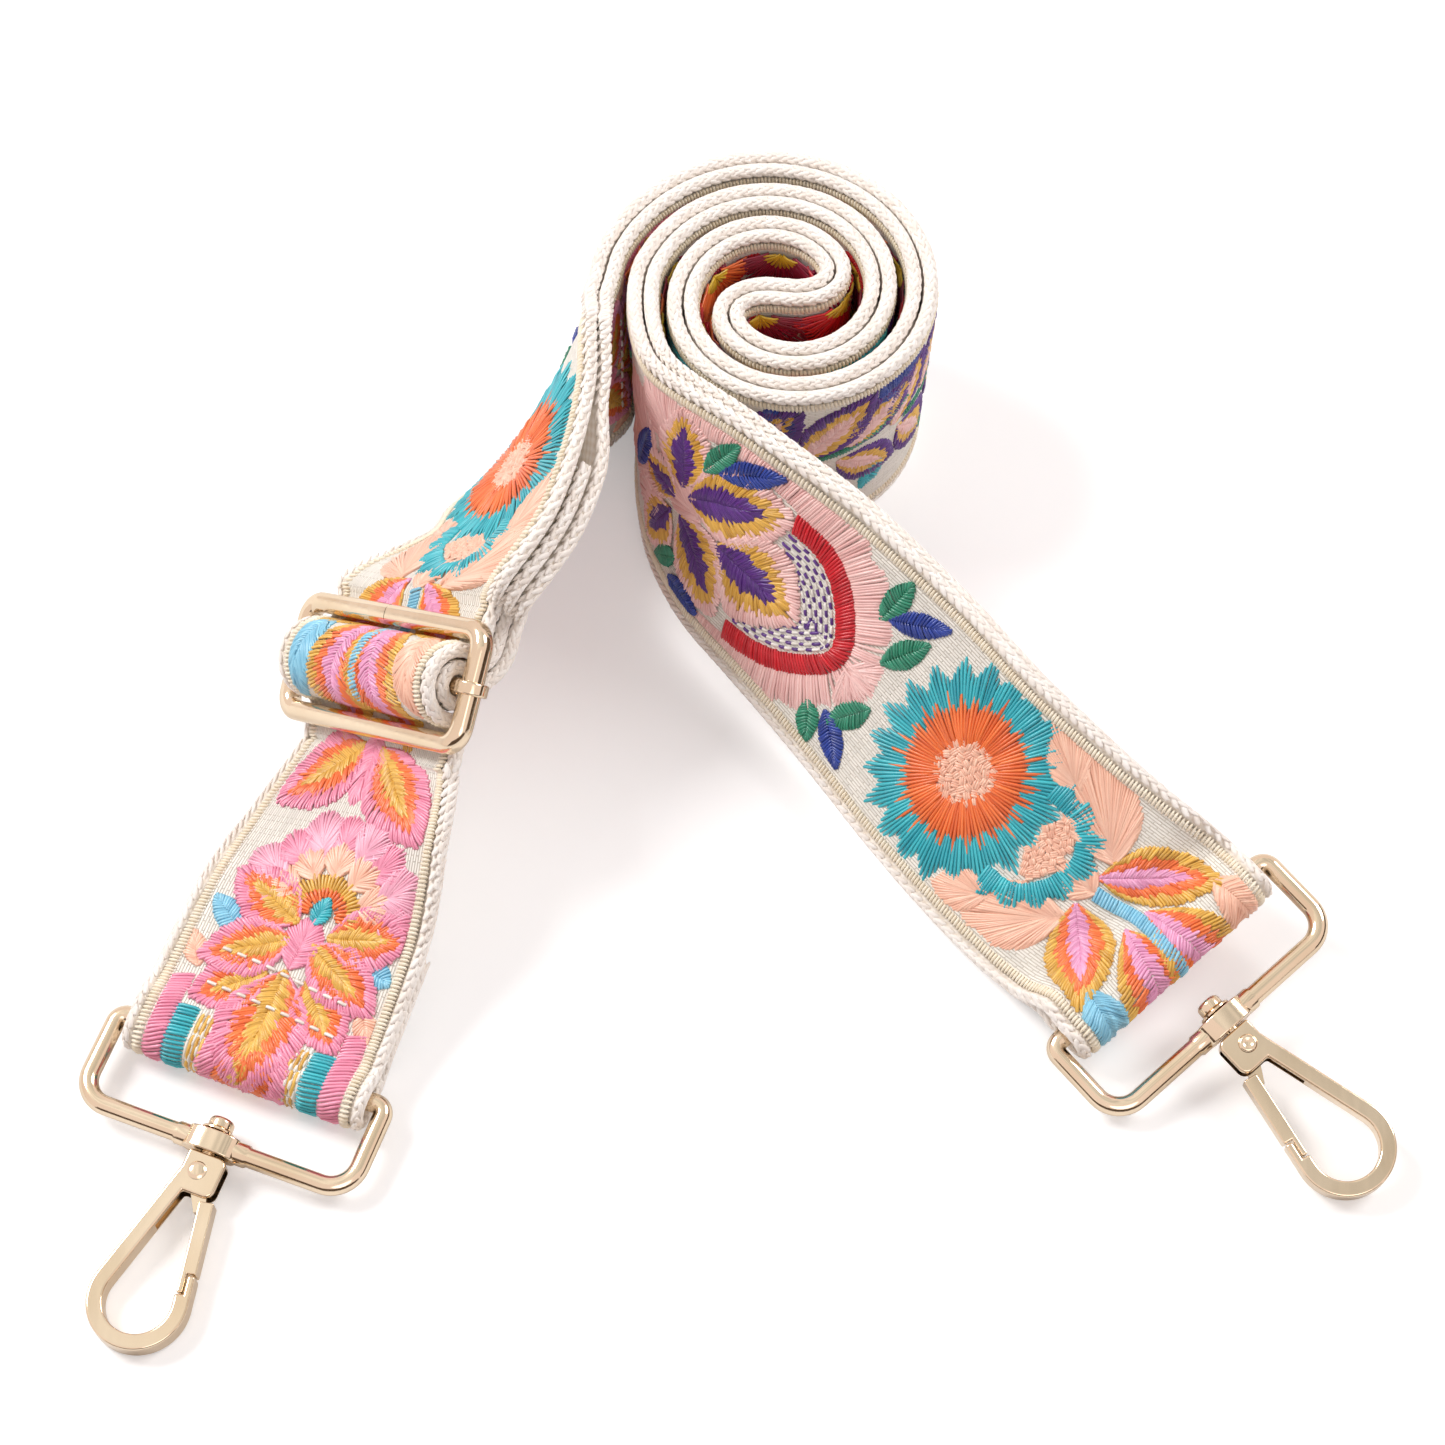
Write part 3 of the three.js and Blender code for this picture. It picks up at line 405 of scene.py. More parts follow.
def carried(tree, name, kind):
    return wire(tree, "GeometryNodeInputNamedAttribute", {"data_type": kind}, Name=name).outputs["Attribute"]


def settled(piece):
    """Its modifiers made part of its mesh."""
    mesh = bpy.data.meshes.new_from_object(piece.evaluated_get(bpy.context.evaluated_depsgraph_get()))
    piece.modifiers.clear()
    piece.data = mesh
    return piece


def finished(piece, tree, **sizes):
    """The piece as its node tree leaves it: a plain mesh, with no modifier on it."""
    modifier = piece.modifiers.new(tree.name, "NODES")
    modifier.node_group = tree
    for item in tree.interface.items_tree:
        key = item.name.replace(" ", "_")
        if item.in_out == "INPUT" and key in sizes:
            modifier[item.identifier] = sizes[key]
    return settled(piece)


def give(piece, name, values):
    values = np.asarray(values, np.float32)
    kind, field = ("FLOAT_VECTOR", "vector") if values.ndim == 2 else ("FLOAT", "value")
    piece.data.attributes.new(name, kind, "POINT").data.foreach_set(field, values.ravel())


def ending(tree, made_of, geometry, finish):
    """The last nodes of a tree: copies made real, smooth and in their material."""
    real = wire(tree, "GeometryNodeRealizeInstances", Geometry=geometry)
    smooth = wire(tree, "GeometryNodeSetShadeSmooth", Geometry=real.outputs["Geometry"])
    dressed = wire(tree, "GeometryNodeSetMaterial", Geometry=smooth.outputs["Geometry"], Material=finish)
    tree.links.new(dressed.outputs["Geometry"], made_of["Geometry"])
    return tree


def strand_tree():
    tree, given, made_of = tree_with("strands_on_points", Length="Float", Width="Float", Height="Float",
                                     Unevenness="Float", Seed="Int", Sides="Int", Finish="Material")
    strand = wire(tree, "GeometryNodeMeshUVSphere", Segments=given["Sides"], Rings=4, Radius=0.5)
    facing = wire(tree, "FunctionNodeAxesToRotation", {"primary_axis": "Z", "secondary_axis": "X"},
                  Primary_Axis=carried(tree, "along", "FLOAT_VECTOR"),
                  Secondary_Axis=carried(tree, "outward", "FLOAT_VECTOR"))
    size = wire(tree, "ShaderNodeCombineXYZ", X=given["Height"], Y=given["Width"], Z=given["Length"])
    least, most = (worked(tree, way, 1.0, given["Unevenness"]) for way in ("SUBTRACT", "ADD"))
    chance = wire(tree, "FunctionNodeRandomValue", {"data_type": "FLOAT"}, _2=least, _3=most, Seed=given["Seed"])
    scale = wire(tree, "ShaderNodeVectorMath", {"operation": "SCALE"}, _0=size.outputs[0],
                 Scale=chance.outputs["Value"])
    laid = wire(tree, "GeometryNodeInstanceOnPoints", Points=given["Geometry"], Instance=strand.outputs["Mesh"],
                Rotation=facing.outputs["Rotation"], Scale=scale.outputs[0])
    return ending(tree, made_of, laid.outputs["Instances"], given["Finish"])


def spun(name, colour, shade, roughness=0.6, sheen=0.3, gloss=0.35):
    """Yarn: its tone changes a little from strand to strand, and its fibres catch the light."""
    material, tree, shader = cloth_paint(name, roughness, sheen, 0.4, gloss)
    place = on_object(tree)
    tone = wire(tree, "ShaderNodeAttribute", {"attribute_name": "tone"}).outputs["Fac"]
    cloud = speckled(tree, place, cloud_scale, Detail=2.0)
    coloured(tree, shader, worked(tree, "MULTIPLY_ADD", cloud, cloud_share, tone, use_clamp=True), shade, colour)
    bumped(tree, shader, speckled(tree, place, fibre_scale, Detail=1.0), fibre_relief, fibre_depth)
    return material


def stranded(name, lengths, v, w, along, outward, seed, size, unevenness, finish):
    """Small strands of one size (length, width, height) laid at points on the strap."""
    piece = new_piece(name, strap_points(lengths, v, w), [])
    give(piece, "along", along)
    give(piece, "outward", outward)
    give(piece, "tone", np.random.default_rng(seed).uniform(0, strand_tones, len(lengths)))
    length, width, height = (s * mm for s in size)
    return finished(piece, strands, Length=length, Width=width, Height=height, Unevenness=unevenness,
                    Seed=seed, Sides=strand_sides, Finish=finish)


def edge_chain(name, side, seed):
    """One edge's strands: rows round its half circle, each slanting the other way."""
    parts = []
    for k, degrees in enumerate(lobe_rows):
        round_it = math.radians(degrees)
        lengths = np.arange(edge_end + (k % 2) * lobe_pitch / 2, strap_length - edge_end, lobe_pitch)
        across, out, ahead = (along_strap(lengths, what) for what in (path_across, path_out, path_ahead))
        outward = across * side * math.cos(round_it) + out * math.sin(round_it)
        slant = math.radians(lobe_slant) * (1 if k % 2 else -1) * side
        along = ahead * math.cos(slant) + np.cross(outward, ahead) * math.sin(slant)
        v, w = side * (edge_middle + lobe_reach * math.cos(round_it)), lobe_reach * math.sin(round_it)
        parts.append((lengths, np.full(len(lengths), v), np.full(len(lengths), w), along, outward))
    lengths, v, w, along, outward = (np.concatenate(group) for group in zip(*parts))
    return stranded(name, lengths, v, w, along, outward, seed, lobe_size, lobe_unevenness, edge_yarn)


strands = strand_tree()
edge_yarn = spun("edge_yarn", seen(251, 246, 240), seen(238, 227, 216), roughness=0.7, gloss=0.25)
upper_edge, lower_edge = edge_chain("upper_edge", 1, 11), edge_chain("lower_edge", -1, 12)
for edge in (upper_edge, lower_edge):
    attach(edge, "strap")


# The ribbon: an off-white satin ground, 44 mm wide, sewn down on the webbing's face. Its own
# edges are wound cords of beige thread, which lie just inside the webbing's thick edges.
ribbon_half, ribbon_bottom, ribbon_top = 22.0, 0.62, 1.08
cord_middle, cord_lift, cord_end, cord_pitch = 21.55, 0.06, 0.5, 0.74
cord_size, cord_unevenness, cord_wander, cord_wave, cord_lean = (2.2, 0.7, 1.25), 0.05, 0.12, 9.0, 0.12
second_float, float_relief, float_depth = 0.86, 0.9, 0.0002
ground_bow = [(-20.4, ribbon_top), (-12.0, ribbon_top + 0.05), (-4.0, ribbon_top + 0.08),
              (4.0, ribbon_top + 0.08), (12.0, ribbon_top + 0.05), (20.4, ribbon_top)]
ribbon_section = ([(-ribbon_half, ribbon_top - 0.1)] + ground_bow + [(ribbon_half, ribbon_top - 0.1)]
                  + [(ribbon_half, ribbon_bottom), (0, ribbon_bottom), (-ribbon_half, ribbon_bottom)])


def satin_ground(name, light, dark):
    """Long floats that lie along the ribbon, each passing under a thread at its ends. The dark colour is painted shade
    in the low lines where they pass under.
    """
    material, tree, shader = cloth_paint(name, 0.55, 0.25, 0.4, 0.35)
    cloth = wire(tree, "ShaderNodeUVMap", {"uv_map": "cloth"}).outputs["UV"]
    # Painted shade: the mortar lines are low in the bump and take the dark colour.
    floats = wire(tree, "ShaderNodeTexBrick", {"offset": 0.37, "offset_frequency": 2}, Vector=cloth, Scale=1.0,
                  Color1=(*light, 1), Color2=(*[second_float * c for c in light], 1), Mortar=(*dark, 1),
                  Mortar_Size=0.012, Mortar_Smooth=1.0, Bias=0.0, Brick_Width=0.31, Row_Height=0.058)
    tree.links.new(floats.outputs["Color"], shader.inputs["Base Color"])
    bumped(tree, shader, worked(tree, "SUBTRACT", 1.0, floats.outputs["Fac"]), float_relief, float_depth)
    return material


def edge_cord(name, side, seed):
    """Close turns of thread across a core, which wanders a little."""
    lengths = np.arange(cord_end, strap_length - cord_end, cord_pitch)
    v = side * (cord_middle + cord_wander * np.sin(lengths / cord_wave + seed))
    across, out, ahead = (along_strap(lengths, what) for what in (path_across, path_out, path_ahead))
    w = np.full(len(lengths), ribbon_top + cord_lift)
    return stranded(name, lengths, v, w, across + cord_lean * ahead, out, seed, cord_size, cord_unevenness, cord_yarn)


ribbon = cloth_tube("ribbon", ribbon_section)
# The ground's dark colour is painted shade where its floats dip under.
ribbon.data.materials.append(satin_ground("ribbon_ground", seen(251, 246, 236), seen(226, 217, 200)))
cord_yarn = spun("cord_yarn", seen(250, 241, 222), seen(240, 226, 200), roughness=0.5)
upper_cord, lower_cord = edge_cord("upper_cord", 1, 21), edge_cord("lower_cord", -1, 22)
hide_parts(*[f"ribbon_{stretch}" for stretch in strap_stretches])
for piece in (ribbon, upper_cord, lower_cord):
    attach(piece, "strap")


# The embroidery: satin stitches of glossy thread, packed side by side. Each motif is shaded by
# rows of long and short stitches, which leave its colours a ragged edge. The pattern comes
# back every 636 mm. Places are how far along the strap and how far across, in millimetres.
thread_wide, thread_high, thread_sides, thread_step = 0.74, 0.58, 4, 0.74
stitch_foot, stitch_rise, sewn_half = ribbon_top + 0.02, 0.36, 20.5
shade_jitter, zone_lap, least_zone, least_stitch, least_rib = 0.11, 0.35, 0.5, 0.7, 0.6
leaf_roundness, leaf_samples, leaf_foot, rib_jitter, rib_reach = 0.85, 50, 0.05, 0.15, (-0.05, 0.03)
seed_grid, seed_row, seed_gap = 8, 0.87, 0.55
layer_lift = 0.14  # a layer is so much higher than the one below it
dyes = {  # the thread's two tones
    "orange": ((252, 132, 66), (230, 92, 36)), "teal": ((66, 196, 206), (28, 158, 176)),
    "peach": ((255, 208, 182), (250, 184, 156)), "pale_pink": ((252, 213, 207), (243, 186, 181)),
    "pink": ((248, 164, 190), (236, 130, 164)), "blush": ((250, 186, 206), (240, 160, 186)),
    "rose": ((244, 176, 212), (230, 144, 188)), "gold": ((240, 192, 88), (208, 150, 46)),
    "purple": ((98, 46, 142), (70, 30, 112)), "blue": ((38, 68, 164), (24, 48, 128)),
    "green": ((48, 150, 116), (28, 120, 92)), "red": ((222, 26, 42), (186, 14, 30)),
    "raspberry": ((160, 28, 66), (124, 18, 48)), "sky": ((150, 214, 238), (116, 188, 220)),
    "yellow": ((234, 200, 60), (210, 168, 36)), "white": ((250, 246, 238), (232, 224, 210)),
}
sewing = np.random.default_rng(7)
sewn = {dye: [] for dye in dyes}


def sew(dye, start, end, layer=0.0):
    """One stitch, cut off where it would pass the ribbon's edge cords."""
    (a, b), (c, d) = start, end
    for _ in range(2):
        (a, b), (c, d) = (c, d), (a, b)
        if abs(b) > sewn_half:
            if abs(d) >= sewn_half:
                return
            share = (math.copysign(sewn_half, b) - d) / (b - d)
            a, b = c + (a - c) * share, math.copysign(sewn_half, b)
    if math.hypot(c - a, d - b) > least_stitch and 1 < min(a, c) and max(a, c) < strap_length - 1:
        sewn[dye].append((a, b, c, d, layer))


def shaded(start, end, zones, layer=0.0):
    """A line of stitches from start to end, one for each zone (dye, share where it stops)."""
    start, end = np.asarray(start, float), np.asarray(end, float)
    length = np.linalg.norm(end - start)
    at = 0.0
    for k, (dye, stop) in enumerate(zones):
        last = k == len(zones) - 1
        stop = stop if last else np.clip(stop + sewing.uniform(-shade_jitter, shade_jitter), at + 0.05, 1)
        lap = 0 if last else zone_lap / max(length, least_zone)
        over = 0.5 * (last and k > 0)
        if (stop - at) * length > least_zone:
            sew(dye, start + (end - start) * at, start + (end - start) * min(1, stop + lap), layer + over)
        at = stop


def petal(foot, tip, width, zones, spine=0.62, layer=0.0, fullness=0.85):
    """A fishbone leaf: stitches go from its midrib forwards to its rim, on both sides."""
    zones = [(zones, 1.0)] if isinstance(zones, str) else zones
    foot, tip = np.array(foot, float), np.array(tip, float)
    long = np.linalg.norm(tip - foot)
    ahead = (tip - foot) / long
    side = np.array([-ahead[1], ahead[0]])

    def bulge(share):
        return width / 2 * np.sin(math.pi * share ** fullness) ** leaf_roundness
    shares = np.linspace(0.01, 0.995, leaf_samples)
    round_rim = np.r_[0, np.cumsum(np.hypot(np.diff(shares * long), np.diff(bulge(shares))))]
    count = max(4, round(round_rim[-1] / thread_step))
    for hand in (1, -1):
        for k in range(count):
            place = (k + 0.5 + sewing.uniform(-rib_jitter, rib_jitter)) / count
            t = float(np.interp(place, round_rim / round_rim[-1], shares))
            reach = 1 + sewing.uniform(*rib_reach)
            middle = foot + ahead * long * spine * t
            rim = foot + ahead * long * (leaf_foot + (1 - leaf_foot) * t) + side * hand * bulge(t)
            if np.linalg.norm(rim - middle) > least_rib:
                shaded(middle, middle + (rim - middle) * reach, zones, layer)


def leaves(rows, zones=None, **how):
    """Several petals: each row is a foot, a tip and a width, and a dye where they differ in it."""
    for foot, tip, width, *dye in rows:
        petal(foot, tip, width, dye[0] if dye else zones, **how)


def direction(degrees):
    return np.array([math.cos(math.radians(degrees)), math.sin(math.radians(degrees))])


def along_line(line, step):
    """Even places along a rounded line, the way to its left there, and how far along they are."""
    line = rounded_line(line)
    far = np.r_[0, np.cumsum(np.linalg.norm(np.diff(line, axis=0), axis=1))]
    even = np.linspace(0, far[-1], max(2, round(far[-1] / step)) + 1)
    points = np.stack([np.interp(even, far, line[:, k]) for k in range(2)], 1)
    ahead = unit(np.gradient(points, axis=0))
    return points, np.stack([-ahead[:, 1], ahead[:, 0]], 1), even


def rounded_line(line, rounds=2):
    line = np.array(line, float)
    for _ in range(rounds):
        cut = [line[0]]
        for a, b in zip(line[:-1], line[1:]):
            cut += [a * 0.75 + b * 0.25, a * 0.25 + b * 0.75]
        line = np.array(cut + [line[-1]])
    return line


def satin_band(line, width, dye, layer=0.0, slant=0.15, step=0.66):
    """Stitches straight across a line, such as a stem; the width may change along it."""
    points, side, far = along_line(line, step)
    wide = np.interp(far / far[-1], [0, 1], np.broadcast_to(width, 2))
    for p, s, w in zip(points, side, wide):
        lean = np.array([s[1], -s[0]]) * slant * w
        half = w / 2 * (1 + sewing.uniform(-0.05, 0.05))
        sew(dye, p - s * half - lean, p + s * half + lean, layer)


def fringe(line, near, far_out, dye, lobe=0.0, lobes=1.0, layer=0.0, jitter=0.5, step=thread_step):
    """Stitches that stand out from a line, from one distance to another, in scallops."""
    points, side, far = along_line(line, step)
    for k, (p, s) in enumerate(zip(points, side)):
        scallop = lobe * abs(math.sin(math.pi * lobes * k / len(points)))
        out = far_out - lobe + scallop + sewing.uniform(-jitter, jitter) * 0.5
        sew(dye, p + s * (near + sewing.uniform(-jitter, jitter) * 0.3), p + s * out, layer)


def running(line, offset, dye, dash=2.5, gap=1.1, start=0.0, layer=0.0):
    """A row of running stitches beside a line."""
    points, side, far = along_line(line, 0.3)
    row = points + side * offset
    at = start
    while at + dash < far[-1]:
        hole, next_hole = ([np.interp(place, far, row[:, k]) for k in range(2)] for place in (at, at + dash))
        sew(dye, hole, next_hole, layer)
        at += dash + gap


def bloom(centre, inner, outer, dye, teeth=0, depth=0.0, wide=1.0, span=(0, 360), jitter=0.6, layer=0.0):
    """Rays round a centre. Their ends make pointed teeth, or a ragged ring with none."""
    first, last = (math.radians(t) for t in span)
    count = round((last - first) * (inner + outer) / 2 / thread_step)
    for k in range(count):
        t = first + (last - first) * (k + 0.5) / count
        tooth = abs(2 * ((teeth * k / count) % 1) - 1) if teeth else 0
        reach = outer - depth * tooth + sewing.uniform(-jitter, jitter) * 0.5
        start = inner + sewing.uniform(-jitter, jitter)
        ray = np.array([math.cos(t) * wide, math.sin(t)])
        sew(dye, np.array(centre) + ray * start, np.array(centre) + ray * reach, layer)


def knots(centre, radii, dye, pitch=1.7, layer=0.0):
    """A centre filled with small seed stitches, turned this way and that, in threes."""
    for i in range(-seed_grid, seed_grid + 1):
        for j in range(-seed_grid, seed_grid + 1):
            x, y = (i + 0.5 * (j % 2)) * pitch, j * pitch * seed_row
            if (x / radii[0]) ** 2 + (y / radii[1]) ** 2 < 1:
                turn = sewing.uniform(0, math.pi)
                ray = np.array([math.cos(turn), math.sin(turn)]) * pitch * 0.5
                for k in (-1, 0, 1):
                    middle = np.array(centre) + (x, y) + np.array([-ray[1], ray[0]]) * seed_gap * k
                    sew(dye, middle - ray, middle + ray, layer)


def lay(motifs, shift, over=1, other=None):
    """Motifs sewn once more: moved along the strap, turned over across it, dyed in other colours."""
    for motif in motifs:
        before = {dye: len(stitches) for dye, stitches in sewn.items()}
        motif()
        own = {dye: stitches[before[dye]:] for dye, stitches in sewn.items()}
        for dye in sewn:
            del sewn[dye][before[dye]:]
        for dye, stitches in own.items():
            for a, b, c, d, layer in stitches:
                a, c = a + shift, c + shift
                if 2 < min(a, c) and max(a, c) < strap_length - 2:
                    sewn[(other or {}).get(dye, dye)].append((a, b * over, c, d * over, layer))


sunset = [("rose", 0.3), ("orange", 0.64), ("gold", 1.0)]
ember = [("gold", 0.3), ("orange", 0.62), ("pink", 1.0)]
plum = [("purple", 0.36), ("gold", 0.7), ("pale_pink", 1.0)]
iris = [("pale_pink", 0.3), ("gold", 0.62), ("purple", 1.0)]


def tulip():
    """A stem with two pairs of leaves, below the daisy."""
    leaves([((780, 2.6), (744, 10.5), 17), ((780, -2.6), (744, -10.5), 17)], sunset, spine=0.8)
    leaves([((776, -16), (756, -20), 10, "sky"), ((776, 16.5), (757, 20), 10, "peach")], layer=1)
    leaves([((791, 3), (773.5, 18), 13), ((791, -3), (773, -20.5), 13)], sunset, layer=1)
    satin_band([(759, 1), (789, 0.5)], (2.4, 3.0), "sky", layer=2)


def daisy():
    """A toothed ring round an orange one and seeds, over a smaller crescent and pale leaves."""
    leaves([((790, 7), (809, 21), 15), ((804, 13.5), (817, 21), 9.5), ((789, 0.5), (799, 0.5), 9),
            ((790, -6.5), (807, -19.5), 14), ((804, -13), (815, -19.5), 8.5)], "peach", spine=0.2)
    crescent = [(808, 9), (801, 9), (797.2, 5), (796.6, 1), (798, -4), (802, -8.5), (808, -9)]
    fringe(crescent, 0.3, -5.4, "teal", lobe=-2.2, lobes=8, layer=2, step=0.56)
    knots((801.5, 1.5), (3.8, 7.2), "peach", pitch=1.5, layer=1)
    middle, wide = (823.5, 1), 0.94
    bloom(middle, 11.5, 23.4, "teal", teeth=21, depth=4.6, wide=wide, jitter=1.0)
    bloom(middle, 5.6, 17.2, "orange", teeth=30, depth=4.4, wide=wide, jitter=1.2, layer=1.6)
    knots(middle, (6.2, 6.6), "peach", layer=1)


def leaflets():
    """Two sprigs of three small leaves, between the daisy and the heart."""
    leaves([((856, 11), (844.5, 19), 5.4, "blue"), ((857, 9.5), (857, 21), 5.6, "green"),
            ((851, 3), (846, 14), 6, "green"), ((846, -5), (851, -14.5), 6, "green"),
            ((853, -12.5), (842.5, -19.5), 5.4, "blue"), ((857, -13.5), (851, -21), 5.2, "green")],
           spine=0.85, layer=1)


def heart():
    """A red arc with a pale scalloped fringe outside it and rows of running stitches inside."""
    arc_line = [(881, 13), (873, 12.5), (864.5, 7.5), (856.5, -2.5), (863.5, -11), (872, -16), (881, -17)]
    rim = [(909, 15), (898, 16), (888, 15.5), (880, 13.5), (872, 12.5), (864, 7.5), (856, -2.5), (863, -11),
           (872, -16), (884, -17.5), (896, -18)]
    petal((855.5, -3), (847.5, -4), 14, "pale_pink", spine=0.1, fullness=0.95)
    fringe(rim, -1.2, -9.6, "pale_pink", lobe=-2.0, lobes=13, step=0.52)
    for row in range(6):
        for dye, start in (("purple", 1.75 * (row % 2)), ("white", 1.75 * (row % 2) + 2.3)):
            running(arc_line, 3.0 + 1.15 * row, dye, dash=2.1, gap=1.4, start=start)
    satin_band(arc_line, 4.2, "red", layer=2)
    plum_tip = [("purple", 0.34), ("gold", 0.66), ("pale_pink", 1.0)]
    petal((893, -3), (868.5, -4), 20.5, plum_tip, layer=2)


def cluster():
    """Leaves round one hub, at the heart's open end, with pale petals behind them."""
    leaves([((903, 1), (881, 14), 18), ((904, -4), (885, -17), 16), ((905, 2), (909, 20.5), 15),
            ((907, -5), (915, -19), 14), ((906, -1), (920, 1), 11)], plum, layer=2)
    leaves([((908, 8), (921, 21.5), 13), ((914, 3), (931, 14), 13), ((909, -6), (923, -12), 12),
            ((914, -2), (931, -5), 13), ((898, -2), (911, 2), 10)], "pale_pink", spine=0.25, fullness=1.15)
    leaves([((898, 11.5), (886, 20.5), 5.4, "blue"), ((901, 9.5), (896, 20.5), 5, "green"),
            ((902, -19), (889, -19.5), 5, "blue"), ((901, -13.5), (909, -19), 5, "green"),
            ((921, -5), (917, 9), 5.4, "blue")], spine=0.85, layer=4.5)


def carnation():
    """The flower nearest ring A, on its own leaves, over two short bars."""
    for v in (13.8, -14.4):
        satin_band([(22, v), (46, v)], 4.6, "teal", slant=0.05)
    for v in (8.4, 9.5, 10.6, -8.9, -10.0, -11.1):
        running([(16, v), (48, v)], 0, "gold", dash=4.0, gap=0.3)
        running([(16, v + 0.45), (48, v + 0.45)], 0, "white", dash=1.5, gap=1.3, start=1.4 * (round(v) % 2))
    for v in (18.6, -19.0):
        satin_band([(22, v), (52, v)], 5.4, "pink", slant=0.2)
    petal((60, 0), (33, 0), 19, ember, layer=1)
    petal((52, 0), (20, 0), 19, ember)
    petal((60, 0.5), (72, 1.5), 9, "pink", layer=1)
    leaves([((59.5, 4.5), (46.5, 15.5), 12.5), ((58.5, -3), (48, -16), 12.5)], ember, layer=1)
    for line in ([(50, 14), (51, 5), (52, -5), (52.5, -14)], [(57, 14), (58, 5), (59.5, -5), (60, -14)]):
        running(line, 0, "white", dash=1.9, gap=1.3, layer=5)
    leaves([((66, 2.5), (56.5, 20), 12.5), ((66, -1), (57, -18), 12.5), ((68, 5), (72, 22), 13),
            ((69, -1), (77, -18), 13)], ember, layer=2)
    middle = np.array((73, 2.5))
    for number, turn in enumerate(range(-88, 89, 22)):
        ray, odd = direction(turn), number % 2
        petal(middle + ray * 10, middle + ray * (21.5 if odd else 20), 9.5, "blush" if odd else "pink",
              spine=0.35, fullness=1.25, layer=0.6 * odd)
    for turn in range(-72, 73, 36):
        ray = direction(turn)
        petal(middle + ray * 6, middle + ray * 14.5, 8, "peach", spine=0.3, fullness=1.2, layer=1)
    bloom((72, 2.5), 5.0, 8.8, "gold", span=(-100, 100), layer=2, teeth=7, depth=1.0)
    bloom((72, 2.5), 3.0, 5.6, "orange", span=(-100, 100), layer=2.4)
    petal((69.5, 1.5), (76, 3.2), 4.2, "teal", layer=3)
    leaves([((66, 12.5), (63, 21), 6), ((64, -11), (70, -20), 6)], "sky", spine=0.85)
    leaves([((57, 17), (51, 21), 5), ((55, -16.5), (62, -21), 5)], "peach")
    leaves([((109, 2), (88, 20), 18), ((109, -3), (92.5, -19.5), 18)], ember, layer=1)
    petal((112, 0), (94, 0), 10, "pink")


def iris_spray():
    """Purple-edged leaves on a green stem: what the roll's outer face shows."""
    satin_band([(346, 9), (356, 4), (372, 1), (390, 2)], 1.7, "green", layer=1)
    leaves([((370, 3), (355, 21), 13.5), ((361, 4), (344, 18), 12.5), ((384, 3), (370, 21), 13.5),
            ((363, 0), (348, -10), 11.5), ((378, 0), (363, -14), 12.5), ((394, 2), (385, 21), 12),
            ((392, 0), (378, -16), 12.5)], iris)
    leaves([((355, 15), (342, 21), 7, "blue"), ((372, 11), (377, 21), 7, "blue"), ((352, -7), (357, -15), 6, "teal"),
            ((366, -12), (357, -20), 7, "blue"), ((382, -12), (372, -20), 6, "green"),
            ((392, 13), (398, 21), 7, "blue")], spine=0.85)


# Between the arms' gardens, one is turned over and dyed like embers: it shows inside the roll.
embers = {"orange": "red", "teal": "raspberry", "pale_pink": "orange", "peach": "raspberry", "sky": "teal",
          "gold": "yellow", "blue": "red", "green": "raspberry", "purple": "raspberry", "white": "gold"}
warm_spray = {"purple": "raspberry", "blue": "teal"}
garden = (tulip, daisy, leaflets, heart, cluster)
pattern_length, second_ply_start = 636.0, 1240.0
for turn in (0.0, pattern_length, second_ply_start):
    lay([carnation], turn)
    lay(garden, turn - pattern_length)
    lay([iris_spray], turn - 44)
    lay([iris_spray], turn)
    lay(garden, turn - pattern_length + 272, -1, embers)
    lay([iris_spray], turn + 196, -1, warm_spray)
    lay([iris_spray], turn + 246, -1, warm_spray)

# Half blooms stand along the upper edge where only that much of the roll's inside shows.
for number, s in enumerate([*range(462, 600, 17), *range(1042, 1290, 17)]):
    dye = ("red", "raspberry", "orange")[number % 3]
    bloom((s, 20), 3.0, 11.5, dye, teeth=5, depth=2.0, span=(180, 360), layer=4)
    bloom((s, 20), 0.5, 4.5, "yellow", span=(180, 360), layer=5)


# Each stitch is one thread, laid over from hole to hole with a little loft in its middle.
# Where the adjuster's rails bear on the embroidery, the threads are pressed flat.
rail_bearing, rail_press = ((104, 124), (136, 153)), 0.25
loft_shares, loft, thread_tones = np.array([0.0, 0.22, 0.78, 1.0]), np.array([-0.35, 1, 1, -0.35]), 0.75
rise_least, rise_by_length, rise_spread, rise_wander = 0.07, 0.06, (0.6, 1.2), 0.09
most_stitches = 6500


def thread_tree():
    tree, given, made_of = tree_with("thread_on_stitches", Width="Float", Height="Float", Sides="Int",
                                     Finish="Material")
    lines = wire(tree, "GeometryNodeMeshToCurve", Mesh=given["Geometry"])
    facing = wire(tree, "GeometryNodeSetCurveNormal", {"mode": "FREE"}, Curve=lines.outputs["Curve"],
                  Normal=carried(tree, "outward", "FLOAT_VECTOR"))
    round_section = wire(tree, "GeometryNodeCurvePrimitiveCircle", Resolution=given["Sides"], Radius=0.5)
    squash = wire(tree, "ShaderNodeCombineXYZ", X=given["Height"], Y=given["Width"], Z=1.0)
    section = wire(tree, "GeometryNodeTransform", Geometry=round_section.outputs["Curve"], Scale=squash.outputs[0])
    tube = wire(tree, "GeometryNodeCurveToMesh", Curve=facing.outputs["Curve"],
                Profile_Curve=section.outputs["Geometry"], Fill_Caps=True)
    return ending(tree, made_of, tube.outputs["Mesh"], given["Finish"])


